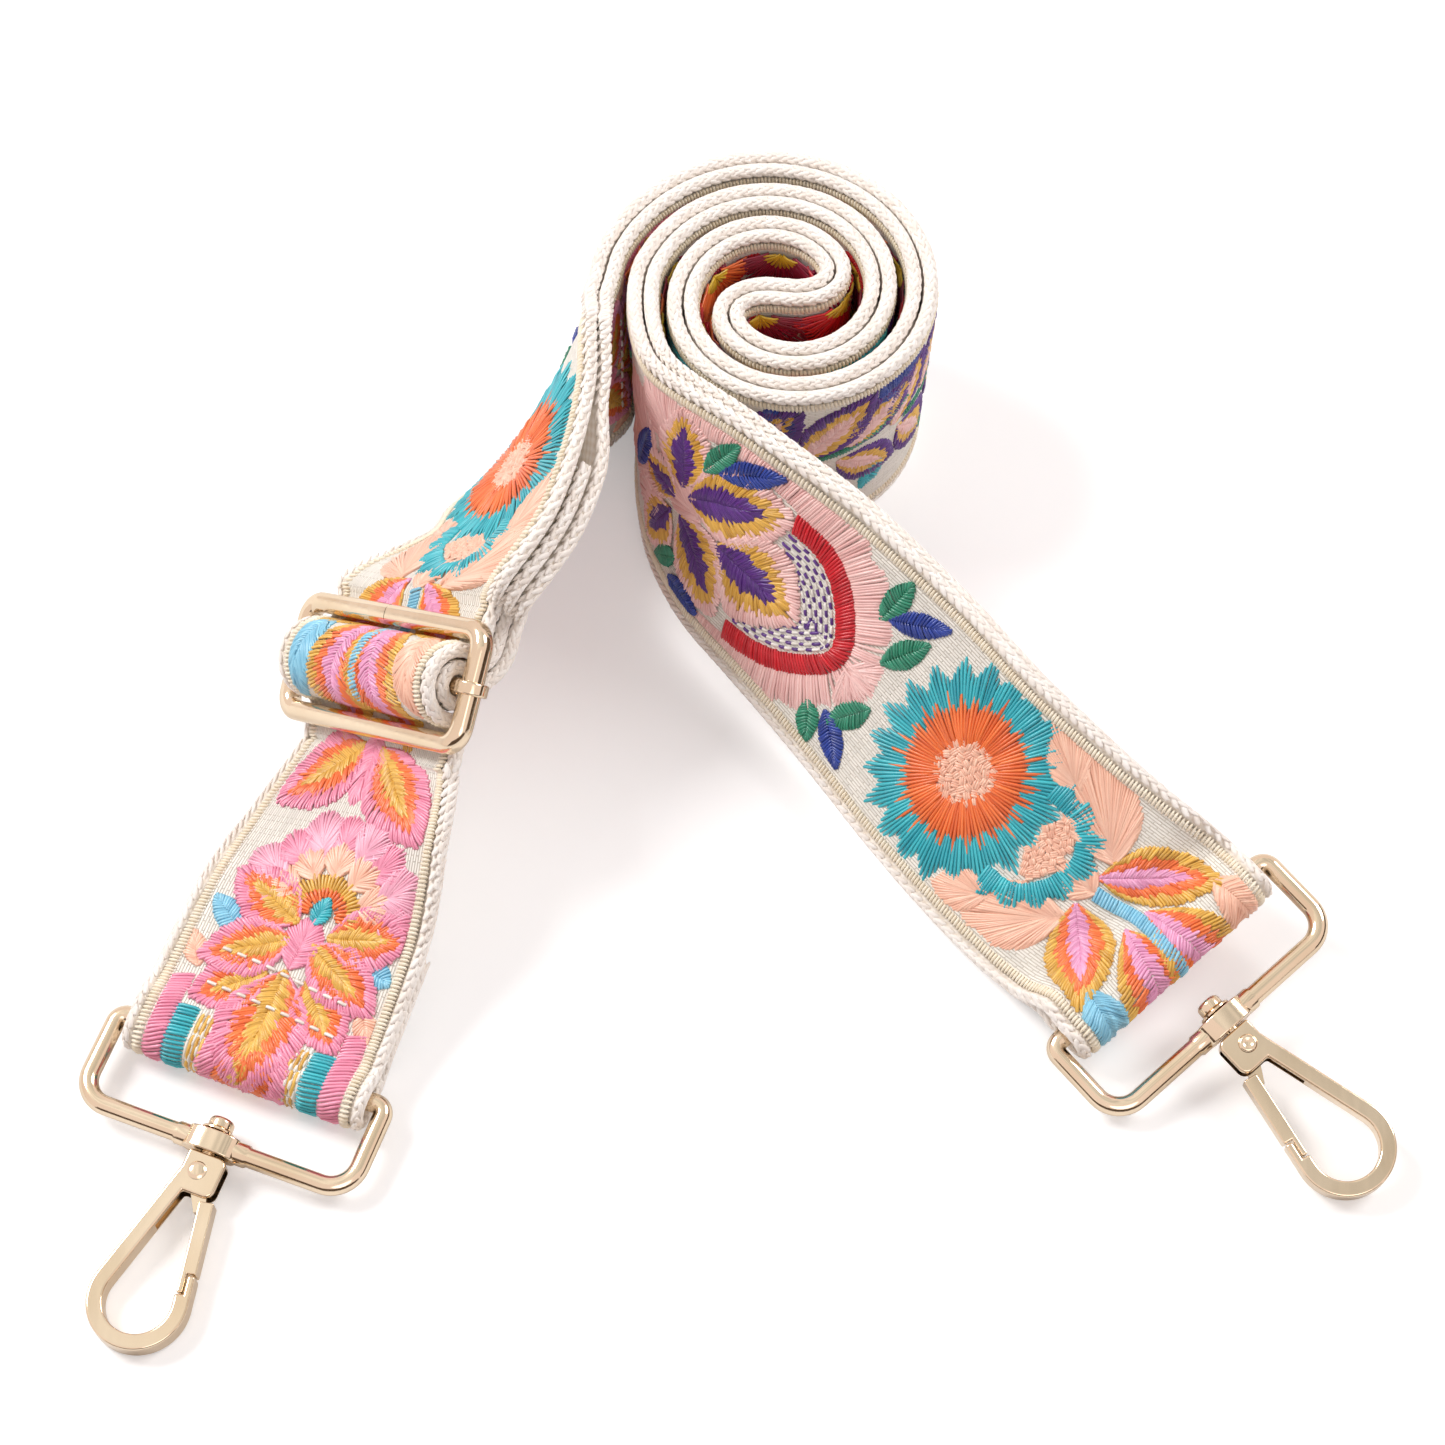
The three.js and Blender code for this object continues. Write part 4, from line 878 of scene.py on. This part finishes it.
def stitches_of(name, stitches, material, seed):
    """One dye's threads, from their stitches (along, across, along, across, layer)."""
    start_at, start_across, end_at, end_across, layer = np.array(stitches).T
    chance, count = np.random.default_rng(seed), len(stitches)
    rise = np.minimum(stitch_rise, rise_least + rise_by_length * np.hypot(end_at - start_at, end_across - start_across))
    rise = rise * chance.uniform(*rise_spread, count) + chance.uniform(-rise_wander, rise_wander, count)
    lengths = start_at[:, None] + (end_at - start_at)[:, None] * loft_shares
    across = start_across[:, None] + (end_across - start_across)[:, None] * loft_shares
    middle = (start_at + end_at) / 2
    pressed = np.where(sum((start < middle) & (middle < end) for start, end in rail_bearing), rail_press, 1.0)
    out = stitch_foot + (layer[:, None] * layer_lift + rise[:, None] * loft) * pressed[:, None]
    first = np.arange(count) * 4
    edges = np.concatenate([np.stack([first + k, first + k + 1], 1) for k in range(3)])
    piece = new_piece(name, strap_points(lengths, across, out).reshape(-1, 3), [], edges.tolist())
    give(piece, "outward", along_strap(lengths.ravel(), path_out))
    give(piece, "tone", np.repeat(chance.uniform(0, thread_tones, count), 4))
    finished(piece, threads, Width=thread_wide * mm, Height=thread_high * mm, Sides=thread_sides, Finish=material)
    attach(piece, "strap")
    return piece


threads = thread_tree()
for number, (dye, (light, dark)) in enumerate(dyes.items()):
    stitches = sorted(sewn[dye])
    parts = math.ceil(len(stitches) / most_stitches)
    shade = seen(*(0.94 * c for c in dark))
    material = spun(f"thread_{dye}", seen(*light), shade, roughness=0.33, sheen=0.1, gloss=0.7)
    for part in range(parts):
        own = stitches[part * len(stitches) // parts:(part + 1) * len(stitches) // parts]
        name = f"stitches_{dye}" + (f"_{part + 1}" if parts > 1 else "")
        stitches_of(name, own, material, number)


# The adjuster: a cast frame of squarish bar, plated pale gold, whose flat side lies up. The
# strap goes up through one opening, over the centre bar and down through the other.
frame_span, frame_corner, frame_rail, frame_rounding = 56.6, 3.8, 2.08, 1.7
champagne, champagne_dark = seen(237, 218, 191), seen(226, 204, 173)
seam_place, seam_wide, seam_deep = -1.5, 0.16, 0.35
clouding_scale, hairline_scale, hairline_relief, hairline_depth = 60.0, (900, 120, 400), 0.06, 0.00005


def plated(name, light, dark, roughness=0.1):
    """Polished plating: fine hairlines and a faint cloudiness, a little duller where handled."""
    material, tree, shader = paint(name, {"Metallic": 1.0, "IOR": 1.45})
    place = on_object(tree)
    cloud = speckled(tree, place, clouding_scale, Detail=1.0, Roughness=0.5)
    coloured(tree, shader, ranged(tree, cloud, From_Min=0.35, From_Max=0.7), light, dark)
    brushed = wire(tree, "ShaderNodeMapping", Vector=place, Scale=hairline_scale).outputs["Vector"]
    hair = speckled(tree, brushed, 1.0, Detail=2.0)
    dull = ranged(tree, hair, From_Min=0.3, From_Max=0.75, To_Min=roughness * 0.75, To_Max=roughness * 1.7)
    tree.links.new(dull, shader.inputs["Roughness"])
    bumped(tree, shader, hair, hairline_relief, hairline_depth)
    return material


def quarter_turns(corners, steps):
    """Four round corners, from their middles and radii, counter-clockwise."""
    return sum((arc(*corner, 90 * k, 90 * k + 90, steps) for k, corner in enumerate(corners)), [])


def rounded_loop(half_span, y_back, y_front, back_corner, front_corner, steps=10):
    """The middle line of a bent frame: a rectangle with round corners."""
    front, back = half_span - front_corner, half_span - back_corner
    low, high = y_back + back_corner, y_front - front_corner
    return np.array(quarter_turns([(front, high, front_corner), (-front, high, front_corner),
                                   (-back, low, back_corner), (back, low, back_corner)], steps))


def rounded_bar(half_wide, half_high, rounding, steps=6):
    wide, high = half_wide - rounding, half_high - rounding
    corners = ((wide, high), (-wide, high), (-wide, -high), (wide, -high))
    return quarter_turns([(*corner, rounding) for corner in corners], steps)


def swept(rings, closed):
    """The faces of a bar from its sections in turn, with flat ends where it isn't closed."""
    n, m = len(rings), len(rings[0])
    last = n if closed else n - 1
    faces = [(i * m + j, i * m + (j + 1) % m, (i + 1) % n * m + (j + 1) % m, (i + 1) % n * m + j)
             for i in range(last) for j in range(m)]
    if not closed:
        faces += [tuple(range(m))[::-1], tuple((n - 1) * m + j for j in range(m))]
    return [point for ring in rings for point in ring], [f[::-1] for f in faces]


def swept_loop(line, section):
    """A closed bar along a closed flat line. The section is sideways (outwards) and up."""
    line = np.array(line)
    ahead = unit(np.roll(line, -1, 0) - np.roll(line, 1, 0))
    outward = np.stack([ahead[:, 1], -ahead[:, 0]], 1)
    return swept([[(*(at + out * s), z) for s, z in section] for at, out in zip(line, outward)], True)


def swept_line(line, ups, section):
    """A bar along an open line in space: the section is sideways and along each `up`."""
    line, ups = np.array(line, float), np.array(ups, float)
    ahead = unit(np.vstack([line[1:2] - line[0:1], line[2:] - line[:-2], line[-1:] - line[-2:-1]]))
    ups = square_to(ups, ahead)
    side = np.cross(ups, ahead)
    places = zip(line, side, ups)
    return swept([[tuple(at + across * s + up * u) for s, u in section] for at, across, up in places], False)


def turned(profile, steps=40):
    """A turned part about the y axis, from its profile (radius, y), from one end to the other."""
    points, faces, m = [], [], len(profile)
    for k in range(steps):
        t = 2 * math.pi * k / steps
        points += [(r * math.cos(t), y, r * math.sin(t)) for r, y in profile]
    for k in range(steps):
        a, b = k * m, (k + 1) % steps * m
        faces += [(a + j, a + j + 1, b + j + 1, b + j) for j in range(m - 1)]
    return points, faces


def pin(radius, low, high, steps=40):
    return turned([(0, low), (radius, low), (radius, high), (0, high)], steps)


def along_x(solid):
    points, faces = solid
    return [(y, x, z) for x, y, z in points], faces


def disc(radius, steps):
    return arc(0, 0, radius, 0, 360, steps)[:-1]


def box(x0, x1, y0, y1, z0, z1):
    points = [(x, y, z) for x in (x0, x1) for y in (y0, y1) for z in (z0, z1)]
    return points, [(0, 1, 3, 2), (4, 6, 7, 5), (0, 4, 5, 1), (2, 3, 7, 6), (0, 2, 6, 4), (1, 5, 7, 3)]


def made(name, solid, place):
    """A metal part from its local points, set in the frame, merged and turned outwards."""
    points, faces = solid
    origin, x, y, z = place
    points = np.asarray(points, float)
    piece = new_piece(name, (origin + points[:, 0:1] * x + points[:, 1:2] * y + points[:, 2:3] * z) * mm, faces)
    shape = bmesh.new()
    shape.from_mesh(piece.data)
    bmesh.ops.remove_doubles(shape, verts=shape.verts, dist=1e-6)
    bmesh.ops.dissolve_degenerate(shape, edges=shape.edges, dist=1e-7)
    bmesh.ops.recalc_face_normals(shape, faces=shape.faces)
    shape.to_mesh(piece.data)
    shape.free()
    return piece


def joined(piece, other, how="UNION"):
    modifier = piece.modifiers.new(how, "BOOLEAN")
    modifier.operation, modifier.object, modifier.solver = how, other, "EXACT"
    settled(piece)
    bpy.data.objects.remove(other)


def cut(piece, solid, place):
    joined(piece, made("cutter", solid, place), "DIFFERENCE")


def eased(piece, width, steps=2, angle=35):
    """Edges eased as tumbling and polishing leave them, with the flats kept flat."""
    bevel = piece.modifiers.new("eased", "BEVEL")
    bevel.width, bevel.segments, bevel.use_clamp_overlap = width * mm, steps, True
    bevel.limit_method, bevel.angle_limit = "ANGLE", math.radians(angle)
    return settled(piece)


def finish_metal(piece, material, node, body, sharp_angle=40):
    """A whole metal piece: closed, shaded with flat flats, painted, and named to the frame."""
    shape = bmesh.new()
    shape.from_mesh(piece.data)
    bmesh.ops.remove_doubles(shape, verts=shape.verts, dist=2e-6)
    bmesh.ops.holes_fill(shape, edges=[edge for edge in shape.edges if edge.is_boundary], sides=8)
    shape.to_mesh(piece.data)
    shape.free()
    piece.data.polygons.foreach_set("use_smooth", [True] * len(piece.data.polygons))
    piece.data.set_sharp_from_angle(angle=math.radians(sharp_angle))
    weighted = piece.modifiers.new("flats", "WEIGHTED_NORMAL")
    weighted.keep_sharp = True
    settled(piece)
    piece.data.materials.clear()
    piece.data.materials.append(material)
    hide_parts(node)
    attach(piece, body)


across, heading = unit(slider["across"]), square_to(slider["heading"], unit(slider["across"]))
face = np.cross(across, heading)
adjuster_place = at_share(slider["place"]) + face * bar_height, across, heading, face
gold = plated("champagne_gold", champagne, champagne_dark)
frame_line = rounded_loop(frame_span / 2, -frame_depth / 2, frame_depth / 2, frame_corner, frame_corner)
frame_bar = rounded_bar(frame_rail, frame_rail, frame_rounding)
adjuster = made("adjuster_frame", swept_loop(frame_line, frame_bar), adjuster_place)
seam_far, seam_top, past = frame_depth / 2 + frame_rail - seam_deep, frame_rail - seam_deep, 3
seam = (seam_place, seam_place + seam_wide)
cut(adjuster, box(*seam, seam_far, seam_far + past, -past, past), adjuster_place)
cut(adjuster, box(*seam, 0.4 * frame_depth, 0.6 * frame_depth, seam_top, frame_rail + past), adjuster_place)
finish_metal(adjuster, gold, "slider_frame", "slider")


# The adjuster's centre bar: a rod with a strip clasp curled round each side of the frame.
clasp_strip, clasp_width, clasp_gap, clasp_lead, clasp_sweep, clasp_steps = 1.0, 2.6, 0.2, 10, 245, 28
clasp_rounding, rod_edge = 0.45, 0.3
clasp_radius = frame_wire / 2 + clasp_gap + clasp_strip / 2
rod_half, rod_radius = frame_span / 2 - clasp_radius, centre_bar / 2
rod = [(0, -rod_half), (rod_radius - rod_edge, -rod_half), (rod_radius, -rod_half + rod_edge),
       (rod_radius, rod_half - rod_edge), (rod_radius - rod_edge, rod_half), (0, rod_half)]
bar_piece = made("adjuster_bar", along_x(turned(rod)), adjuster_place)
clasp_curl = arc(0, 0, 1, 180 + clasp_lead, 180 + clasp_lead - clasp_sweep, clasp_steps)
for side in (1, -1):
    clasp_ups = [(side * x, 0, z) for x, z in clasp_curl]
    clasp_line = [(side * frame_span / 2 + x * clasp_radius, 0, z * clasp_radius) for x, _, z in clasp_ups]
    clasp_bar = rounded_bar(clasp_width / 2, clasp_strip / 2, clasp_rounding, 4)
    joined(bar_piece, made("clasp", swept_line(clasp_line, clasp_ups, clasp_bar), adjuster_place))
finish_metal(bar_piece, gold, "slider_centre_bar", "strap")


# The rings: round gold wire bent to a rectangle, 52 mm clear inside, with a flattened boss
# cast on the front bar. The strap's ends fold round the back bar.
ring_span, ring_depth, back_corner, front_corner = 55.8, 18.2, 2.2, 5.5
boss_radius, boss_depth, boss_height, boss_edge, boss_sides, boss_squareness = 5.4, 4.3, 6.8, 0.35, 64, 0.8
collar_reach, collar_radius, collar_slope, collar_lip = 8.0, 2.25, 0.9, 0.3
stud_bore = 1.55


def ring_place(ring, turned_over):
    across, out = unit(ring["across"]), square_to(ring["out"], unit(ring["across"]))
    x = -across if turned_over else across
    return at_share(ring["place"]) + out * ring_depth, x, out, np.cross(x, out)


def squarish(share):
    return math.copysign(abs(share) ** boss_squareness, share)


hook_places = {"a": ring_place(ring_a, False), "b": ring_place(ring_b, True)}
ring_line = rounded_loop(ring_span / 2, -ring_depth, 0, back_corner, front_corner)
boss_oval = [(boss_radius * squarish(math.cos(t)), boss_height / 2 * squarish(math.sin(t)))
             for t in np.linspace(0, 2 * math.pi, boss_sides, endpoint=False)]
boss_solid = swept([[(x, y, z) for x, z in boss_oval] for y in (-boss_depth / 2, boss_depth / 2)], False)
collar = [(0, -collar_reach), (ring_wire / 2 - collar_lip, -collar_reach),
          (collar_radius, -collar_reach + collar_slope)]
collar += [(radius, -y) for radius, y in collar[::-1]]
for end, place in hook_places.items():
    ring = made(f"ring_{end}_wire", swept_loop(ring_line, disc(ring_wire / 2, 32)), place)
    boss = eased(made("boss", boss_solid, place), boss_edge, 3, angle=60)
    joined(boss, made("collar", along_x(turned(collar, 36)), place))
    joined(ring, boss)
    cut(ring, pin(stud_bore, -6, 6), place)
    finish_metal(ring, gold, f"ring_{end}", f"ring_{end}")


# The swivel: a turned stud, fixed in the hook's head, goes through the boss. Its button
# head and a loose washer hold it there, and the hook turns about it.
stud_shank, stud_head, stud_head_length, seat = 1.4, 2.5, 2.3, 0.1
washer_inner, washer_outer, washer_thick = 1.5, 3.3, 0.7
rivet_place, fork_reach = 6.15, 2.4
stud_back = -boss_depth / 2 - 2 * seat - washer_thick
stud_end = stud_back - stud_head_length
stud_tip = rivet_place - fork_reach - seat
stud_profile = [(0, stud_tip), (stud_shank, stud_tip), (stud_shank, stud_back), (stud_head - 0.3, stud_back),
                (stud_head, stud_back - 0.25), (stud_head, stud_end + 0.9), (stud_head - 0.15, stud_end + 0.5),
                (stud_head - 0.45, stud_end + 0.2), (stud_head - 0.9, stud_end + 0.05), (0, stud_end)]
washer_top, washer_bottom = -boss_depth / 2 - seat, -boss_depth / 2 - seat - washer_thick
washer_profile = [(washer_inner, washer_top), (washer_inner, washer_bottom), (washer_outer - 0.25, washer_bottom),
                  (washer_outer, washer_bottom + 0.2), (washer_outer, washer_top - 0.2),
                  (washer_outer - 0.25, washer_top), (washer_inner, washer_top)]
for end, place in hook_places.items():
    for name, profile, node in (("stud", stud_profile, "swivel_stud"), ("washer", washer_profile, "stud_washer")):
        finish_metal(made(f"{name}_{end}", turned(profile, 48), place), gold, f"{node}_{end}", f"hook_{end}")


# The hooks: cast in one, a flat teardrop loop under a forked head. The loop's end is stepped
# where the gate shuts on it, and the far leg is hollowed on its inner side by the mould.
loop_radius, loop_bar, rivet_to_loop = 9.6, 3.1, 26.3
side_right, side_left, head_top, head_bottom, head_round = 4.7, 3.2, 3.7, 4.4, 1.8
hook_thick, hook_edge, fork_slot, past_side = 4.4, 0.5, 2.8, 6
step_climb, step_wide, nose_climb = 2.2, 1.6, 5.9
recess_start, recess_length, recess_wide, recess_deep = 5.8, 8.2, 2.4, 1.3
rivet_bore, stud_hole = 1.18, 1.5


def leg_turn(head_side):
    """How far round the loop a straight leg leaves it, for a head of that half width."""
    return math.atan2(head_side, rivet_to_loop) + math.acos(loop_radius / math.hypot(head_side, rivet_to_loop))


def leg_point(distance, climb):
    t = leg_turn(side_right)
    return (distance * math.sin(t) - climb * math.cos(t), rivet_to_loop - distance * math.cos(t) - climb * math.sin(t))


def hook_outline():
    inner, left, corner = loop_radius - loop_bar, leg_turn(side_left), side_right - head_round
    left_end, right_end, step = 270 - math.degrees(left), math.degrees(leg_turn(side_right)) - 90, inner + step_wide
    lean = (rivet_to_loop - inner * math.cos(left) - head_bottom) / math.tan(left)
    return ([(-side_left, -head_top)] + arc(corner, head_round - head_top, head_round, -90, 0, 8)
            + arc(corner, head_bottom - head_round, head_round, 0, 90, 8)
            + [(lean - inner * math.sin(left), head_bottom)]
            + arc(0, rivet_to_loop, inner, left_end, right_end, 48)
            + [leg_point(inner, step_climb), leg_point(step, step_climb), leg_point(step, nose_climb),
               leg_point(loop_radius, nose_climb)]
            + arc(0, rivet_to_loop, loop_radius, right_end, left_end, 60) + [(-side_left, 0)])


def plate(outline, thickness, lift=0.0):
    """A flat plate in the hook's plane. Its outline is measured from the rivet."""
    n = len(outline)
    points = [(x, y + rivet_place, z * thickness / 2 + lift) for z in (-1, 1) for x, y in outline]
    faces = [tuple(range(n))[::-1], tuple(range(n, 2 * n))]
    return points, faces + [(i, (i + 1) % n, n + (i + 1) % n, n + i) for i in range(n)]


def through_head(solid):
    """A turned part stood up at the rivet's place."""
    points, faces = solid
    return [(x, z + rivet_place, y) for x, y, z in points], faces


def leaned(points, lean):
    c, s = math.cos(lean), math.sin(lean)
    return [(x * c - y * s, x * s + y * c, *z) for x, y, *z in points]


def recess():
    t, inner = leg_turn(side_left), loop_radius - loop_bar
    climb = (rivet_to_loop - recess_start - recess_length / 2) / math.sin(t)
    points, faces = box(-inner - recess_deep, -inner + recess_deep, -climb - recess_length / 2,
                        -climb + recess_length / 2, -recess_wide / 2, recess_wide / 2)
    return [(x, y + rivet_to_loop + rivet_place, z) for x, y, z in leaned(points, math.pi / 2 - t)], faces


rivet_hole = through_head(pin(rivet_bore, -4, 4))
fork = box(-fork_reach, past_side, rivet_place - fork_reach, rivet_place + head_bottom + 1,
           -fork_slot / 2, fork_slot / 2)
for end, place in hook_places.items():
    hook = eased(made(f"hook_{end}_cast", plate(hook_outline(), hook_thick), place), hook_edge, 3)
    for solid in (fork, recess(), rivet_hole, pin(stud_hole, -1, rivet_place - 1.8)):
        cut(hook, solid, place)
    finish_metal(hook, gold, f"hook_body_{end}", f"hook_{end}")


# The gates: a straight bar on an eye that turns between the fork's cheeks. Its tongue laps
# the loop's stepped end, and a hidden spring holds it shut.
gate_wide, gate_gap, gate_thick, gate_edge = 2.9, 0.3, 4.0, 0.32
lug_radius, lug_thick, neck_wide, lug_overlap = 2.1, 1.3, 2.3, math.degrees(0.6)


def gate_outline():
    """The bar, from the hook's head to the tongue that laps the loop's stepped end."""
    inner, tongue = loop_radius - gate_wide, loop_radius - loop_bar + step_wide - gate_gap
    touch = rivet_to_loop - loop_radius * math.cos(leg_turn(side_right))
    top = (touch - head_bottom - gate_gap) / math.sin(leg_turn(side_right))
    low, lap = nose_climb + gate_gap, step_climb + gate_gap
    corners = [(inner, top), (loop_radius, top), (loop_radius, low), (tongue, low), (tongue, lap), (inner, lap)]
    return [leg_point(*corner) for corner in corners[::-1]]


def gate_lug():
    """The thin neck and eye between the fork's cheeks."""
    end_y, end_x = head_bottom + gate_gap + neck_wide, side_right + gate_gap - gate_wide / 2
    long, lean = math.hypot(end_x, end_y), -math.atan2(end_x, end_y)
    eye = arc(0, 0, lug_radius, 180 - lug_overlap, 360 + lug_overlap, 28)
    outline = leaned(eye + [(neck_wide / 2, long), (-neck_wide / 2, long)], lean)
    return plate(outline, lug_thick, -fork_slot / 2 + seat + lug_thick / 2)


for end, place in hook_places.items():
    gate = eased(made(f"gate_{end}_bar", plate(gate_outline(), gate_thick), place), gate_edge, 3)
    joined(gate, made("lug", gate_lug(), place))
    cut(gate, rivet_hole, place)
    finish_metal(gate, gold, f"gate_{end}", f"gate_{end}")


# The rivets: each is a tubular pin through both cheeks and the gate's eye. One end is a low
# button, and the other is rolled over to an eyelet.
rivet_shank, rivet_head, rivet_face, rivet_high, eyelet_pit = 1.1, 1.8, 2.3, 0.45, 0.25
rivet_end = rivet_face + rivet_high
rivet_profile = [(0, -rivet_end), (0.9, -rivet_end + 0.03), (1.4, -rivet_end + 0.14), (rivet_head, -rivet_face),
                 (rivet_shank, -rivet_face), (rivet_shank, rivet_face), (rivet_head, rivet_face),
                 (1.72, rivet_face + 0.22), (1.45, rivet_end - 0.04), (1.2, rivet_end), (0.95, rivet_end - 0.04),
                 (0.72, rivet_end - 0.2), (0.6, rivet_end - eyelet_pit), (0, rivet_end - eyelet_pit)]
for end, place in hook_places.items():
    rivet = made(f"rivet_{end}", through_head(turned(rivet_profile, 48)), place)
    finish_metal(rivet, gold, f"gate_rivet_{end}", f"hook_{end}")


# The gate springs: one turn of spring wire round each rivet, beside the gate's eye, with a
# leg against the head and one against the gate.
spring_wire, spring_radius, spring_rise, spring_leg, spring_tail = 0.4, 1.75, 0.8, 2.2, 1.1
spring_floor = -fork_slot / 2 + 2 * seat + lug_thick + spring_wire / 2
coil = [(x, y, spring_floor + spring_rise * k / 36)
        for k, (x, y) in enumerate(arc(0, rivet_place, spring_radius, 180, 540, 36))]
(x0, y0, z0), (x1, y1, z1) = coil[0], coil[-1]
spring_line = [(x0, y0 + spring_leg, z0)] + coil + [(x1, y1 - spring_tail, z1)]
steel = plated("spring_steel", seen(200, 200, 204), seen(150, 150, 156), roughness=0.22)
for end, place in hook_places.items():
    wound = swept_line(spring_line, [(0, 0, 1)] * len(spring_line), disc(spring_wire / 2, 8))
    spring = made(f"spring_{end}", wound, place)
    finish_metal(spring, steel, f"gate_spring_{end}", f"hook_{end}")


# The studio: a glowing white table, three soft lamps (upper left, right and a weak one in
# front) and a faintly pink sky. Polished metal also shows two dark cards and a banded glowing
# one above, none of which the camera sees.
camera_at, camera_aim, camera_lens, sensor_width = (-2.2, -304.65, 572.9), (-2.2, 12.9, 0.0), 80, 36
floor_white, table_glow, room_light, sky_colour = 0.86, 0.3, 0.42, (1, 0.88, 0.86, 1)
lamps = {"key_lamp": ((-0.9, 0.45, 1.0), 0.6, 14.5), "right_lamp": ((1.0, 0.5, 0.9), 0.7, 9.5),
         "front_lamp": ((0.2, -0.9, 1.0), 0.8, 2.0)}
table_corners = [(-3, -3, 0), (3, -3, 0), (3, 3, 0), (-3, 3, 0)]
dark_cards = {"card_front": [(-0.8, -0.6, 0.02), (0.8, -0.6, 0.02), (0.8, -0.68, 0.36), (-0.8, -0.68, 0.36)],
              "card_right": [(0.72, -0.5, 0.02), (0.72, 0.5, 0.02), (0.76, 0.5, 0.26), (0.76, -0.5, 0.26)]}
glow_corners = [(-1.0, -0.25, 1.2), (1.0, -0.25, 1.2), (1.0, 1.1, 1.2), (-1.0, 1.1, 1.2)]
band_pitch, band_start, band_strength, glow_left, glow_right = 19.0, 0.8, 0.13, 1.06, 0.72


def placed(name, data, at, aim):
    thing = bpy.data.objects.new(name, data)
    thing.location = at
    thing.rotation_euler = (mathutils.Vector(aim) - mathutils.Vector(at)).to_track_quat("-Z", "Y").to_euler()
    bpy.context.scene.collection.objects.link(thing)
    return thing


def flat_card(name, corners, material, hidden=True):
    card = new_piece(name, corners, [(0, 1, 2, 3)])
    card.data.materials.append(material)
    if hidden:
        card.visible_camera = card.visible_diffuse = card.visible_shadow = False


table_paint, tree, shader = paint("table_white", {"Base Color": (floor_white,) * 3 + (1,), "Roughness": 0.9,
                                                  "Specular IOR Level": 0.1, "Emission Color": (1, 1, 1, 1)})
to_camera = wire(tree, "ShaderNodeLightPath").outputs["Is Camera Ray"]
tree.links.new(worked(tree, "MULTIPLY", to_camera, table_glow), shader.inputs["Emission Strength"])
flat_card("table", table_corners, table_paint, hidden=False)

world = bpy.data.worlds.new("studio")
world.use_nodes = True
bpy.context.scene.world = world
tree, sky = world.node_tree, world.node_tree.nodes["Background"]
sky.inputs["Color"].default_value = sky_colour
rays = wire(tree, "ShaderNodeLightPath").outputs
direct = worked(tree, "MAXIMUM", rays["Is Camera Ray"], rays["Is Glossy Ray"])
direct = worked(tree, "MAXIMUM", direct, rays["Is Transmission Ray"])
tree.links.new(ranged(tree, direct, To_Min=room_light), sky.inputs["Strength"])

for name, (at, size, watts) in lamps.items():
    lamp = bpy.data.lights.new(name, "AREA")
    lamp.energy, lamp.size, lamp.shape = watts, size, "DISK"
    placed(name, lamp, at, (0, 0, 0))
card_paint = paint("card_dark", {"Base Color": (0.07, 0.045, 0.028, 1), "Roughness": 0.9})[0]
for name, corners in dark_cards.items():
    flat_card(name, corners, card_paint)

glow, tree, shader = paint("card_glow", {"Base Color": (0, 0, 0, 1), "Roughness": 1.0, "Specular IOR Level": 0.0,
                                         "Emission Color": (1, 0.965, 0.93, 1)})
across_it = wire(tree, "ShaderNodeSeparateXYZ", Vector=on_object(tree)).outputs["X"]
bands = worked(tree, "SINE", worked(tree, "MULTIPLY_ADD", across_it, band_pitch, band_start))
fall = ranged(tree, across_it, From_Min=-0.45, From_Max=0.45, To_Min=glow_left, To_Max=glow_right)
tree.links.new(worked(tree, "MULTIPLY_ADD", bands, band_strength, fall), shader.inputs["Emission Strength"])
flat_card("card_above", glow_corners, glow)

lens = bpy.data.cameras.new("camera")
lens.lens, lens.sensor_width, lens.clip_start = camera_lens, sensor_width, 0.01
camera = placed("camera", lens, [c * mm for c in camera_at], [c * mm for c in camera_aim])
bpy.context.scene.camera = camera
bpy.context.scene.view_settings.view_transform = "Standard"
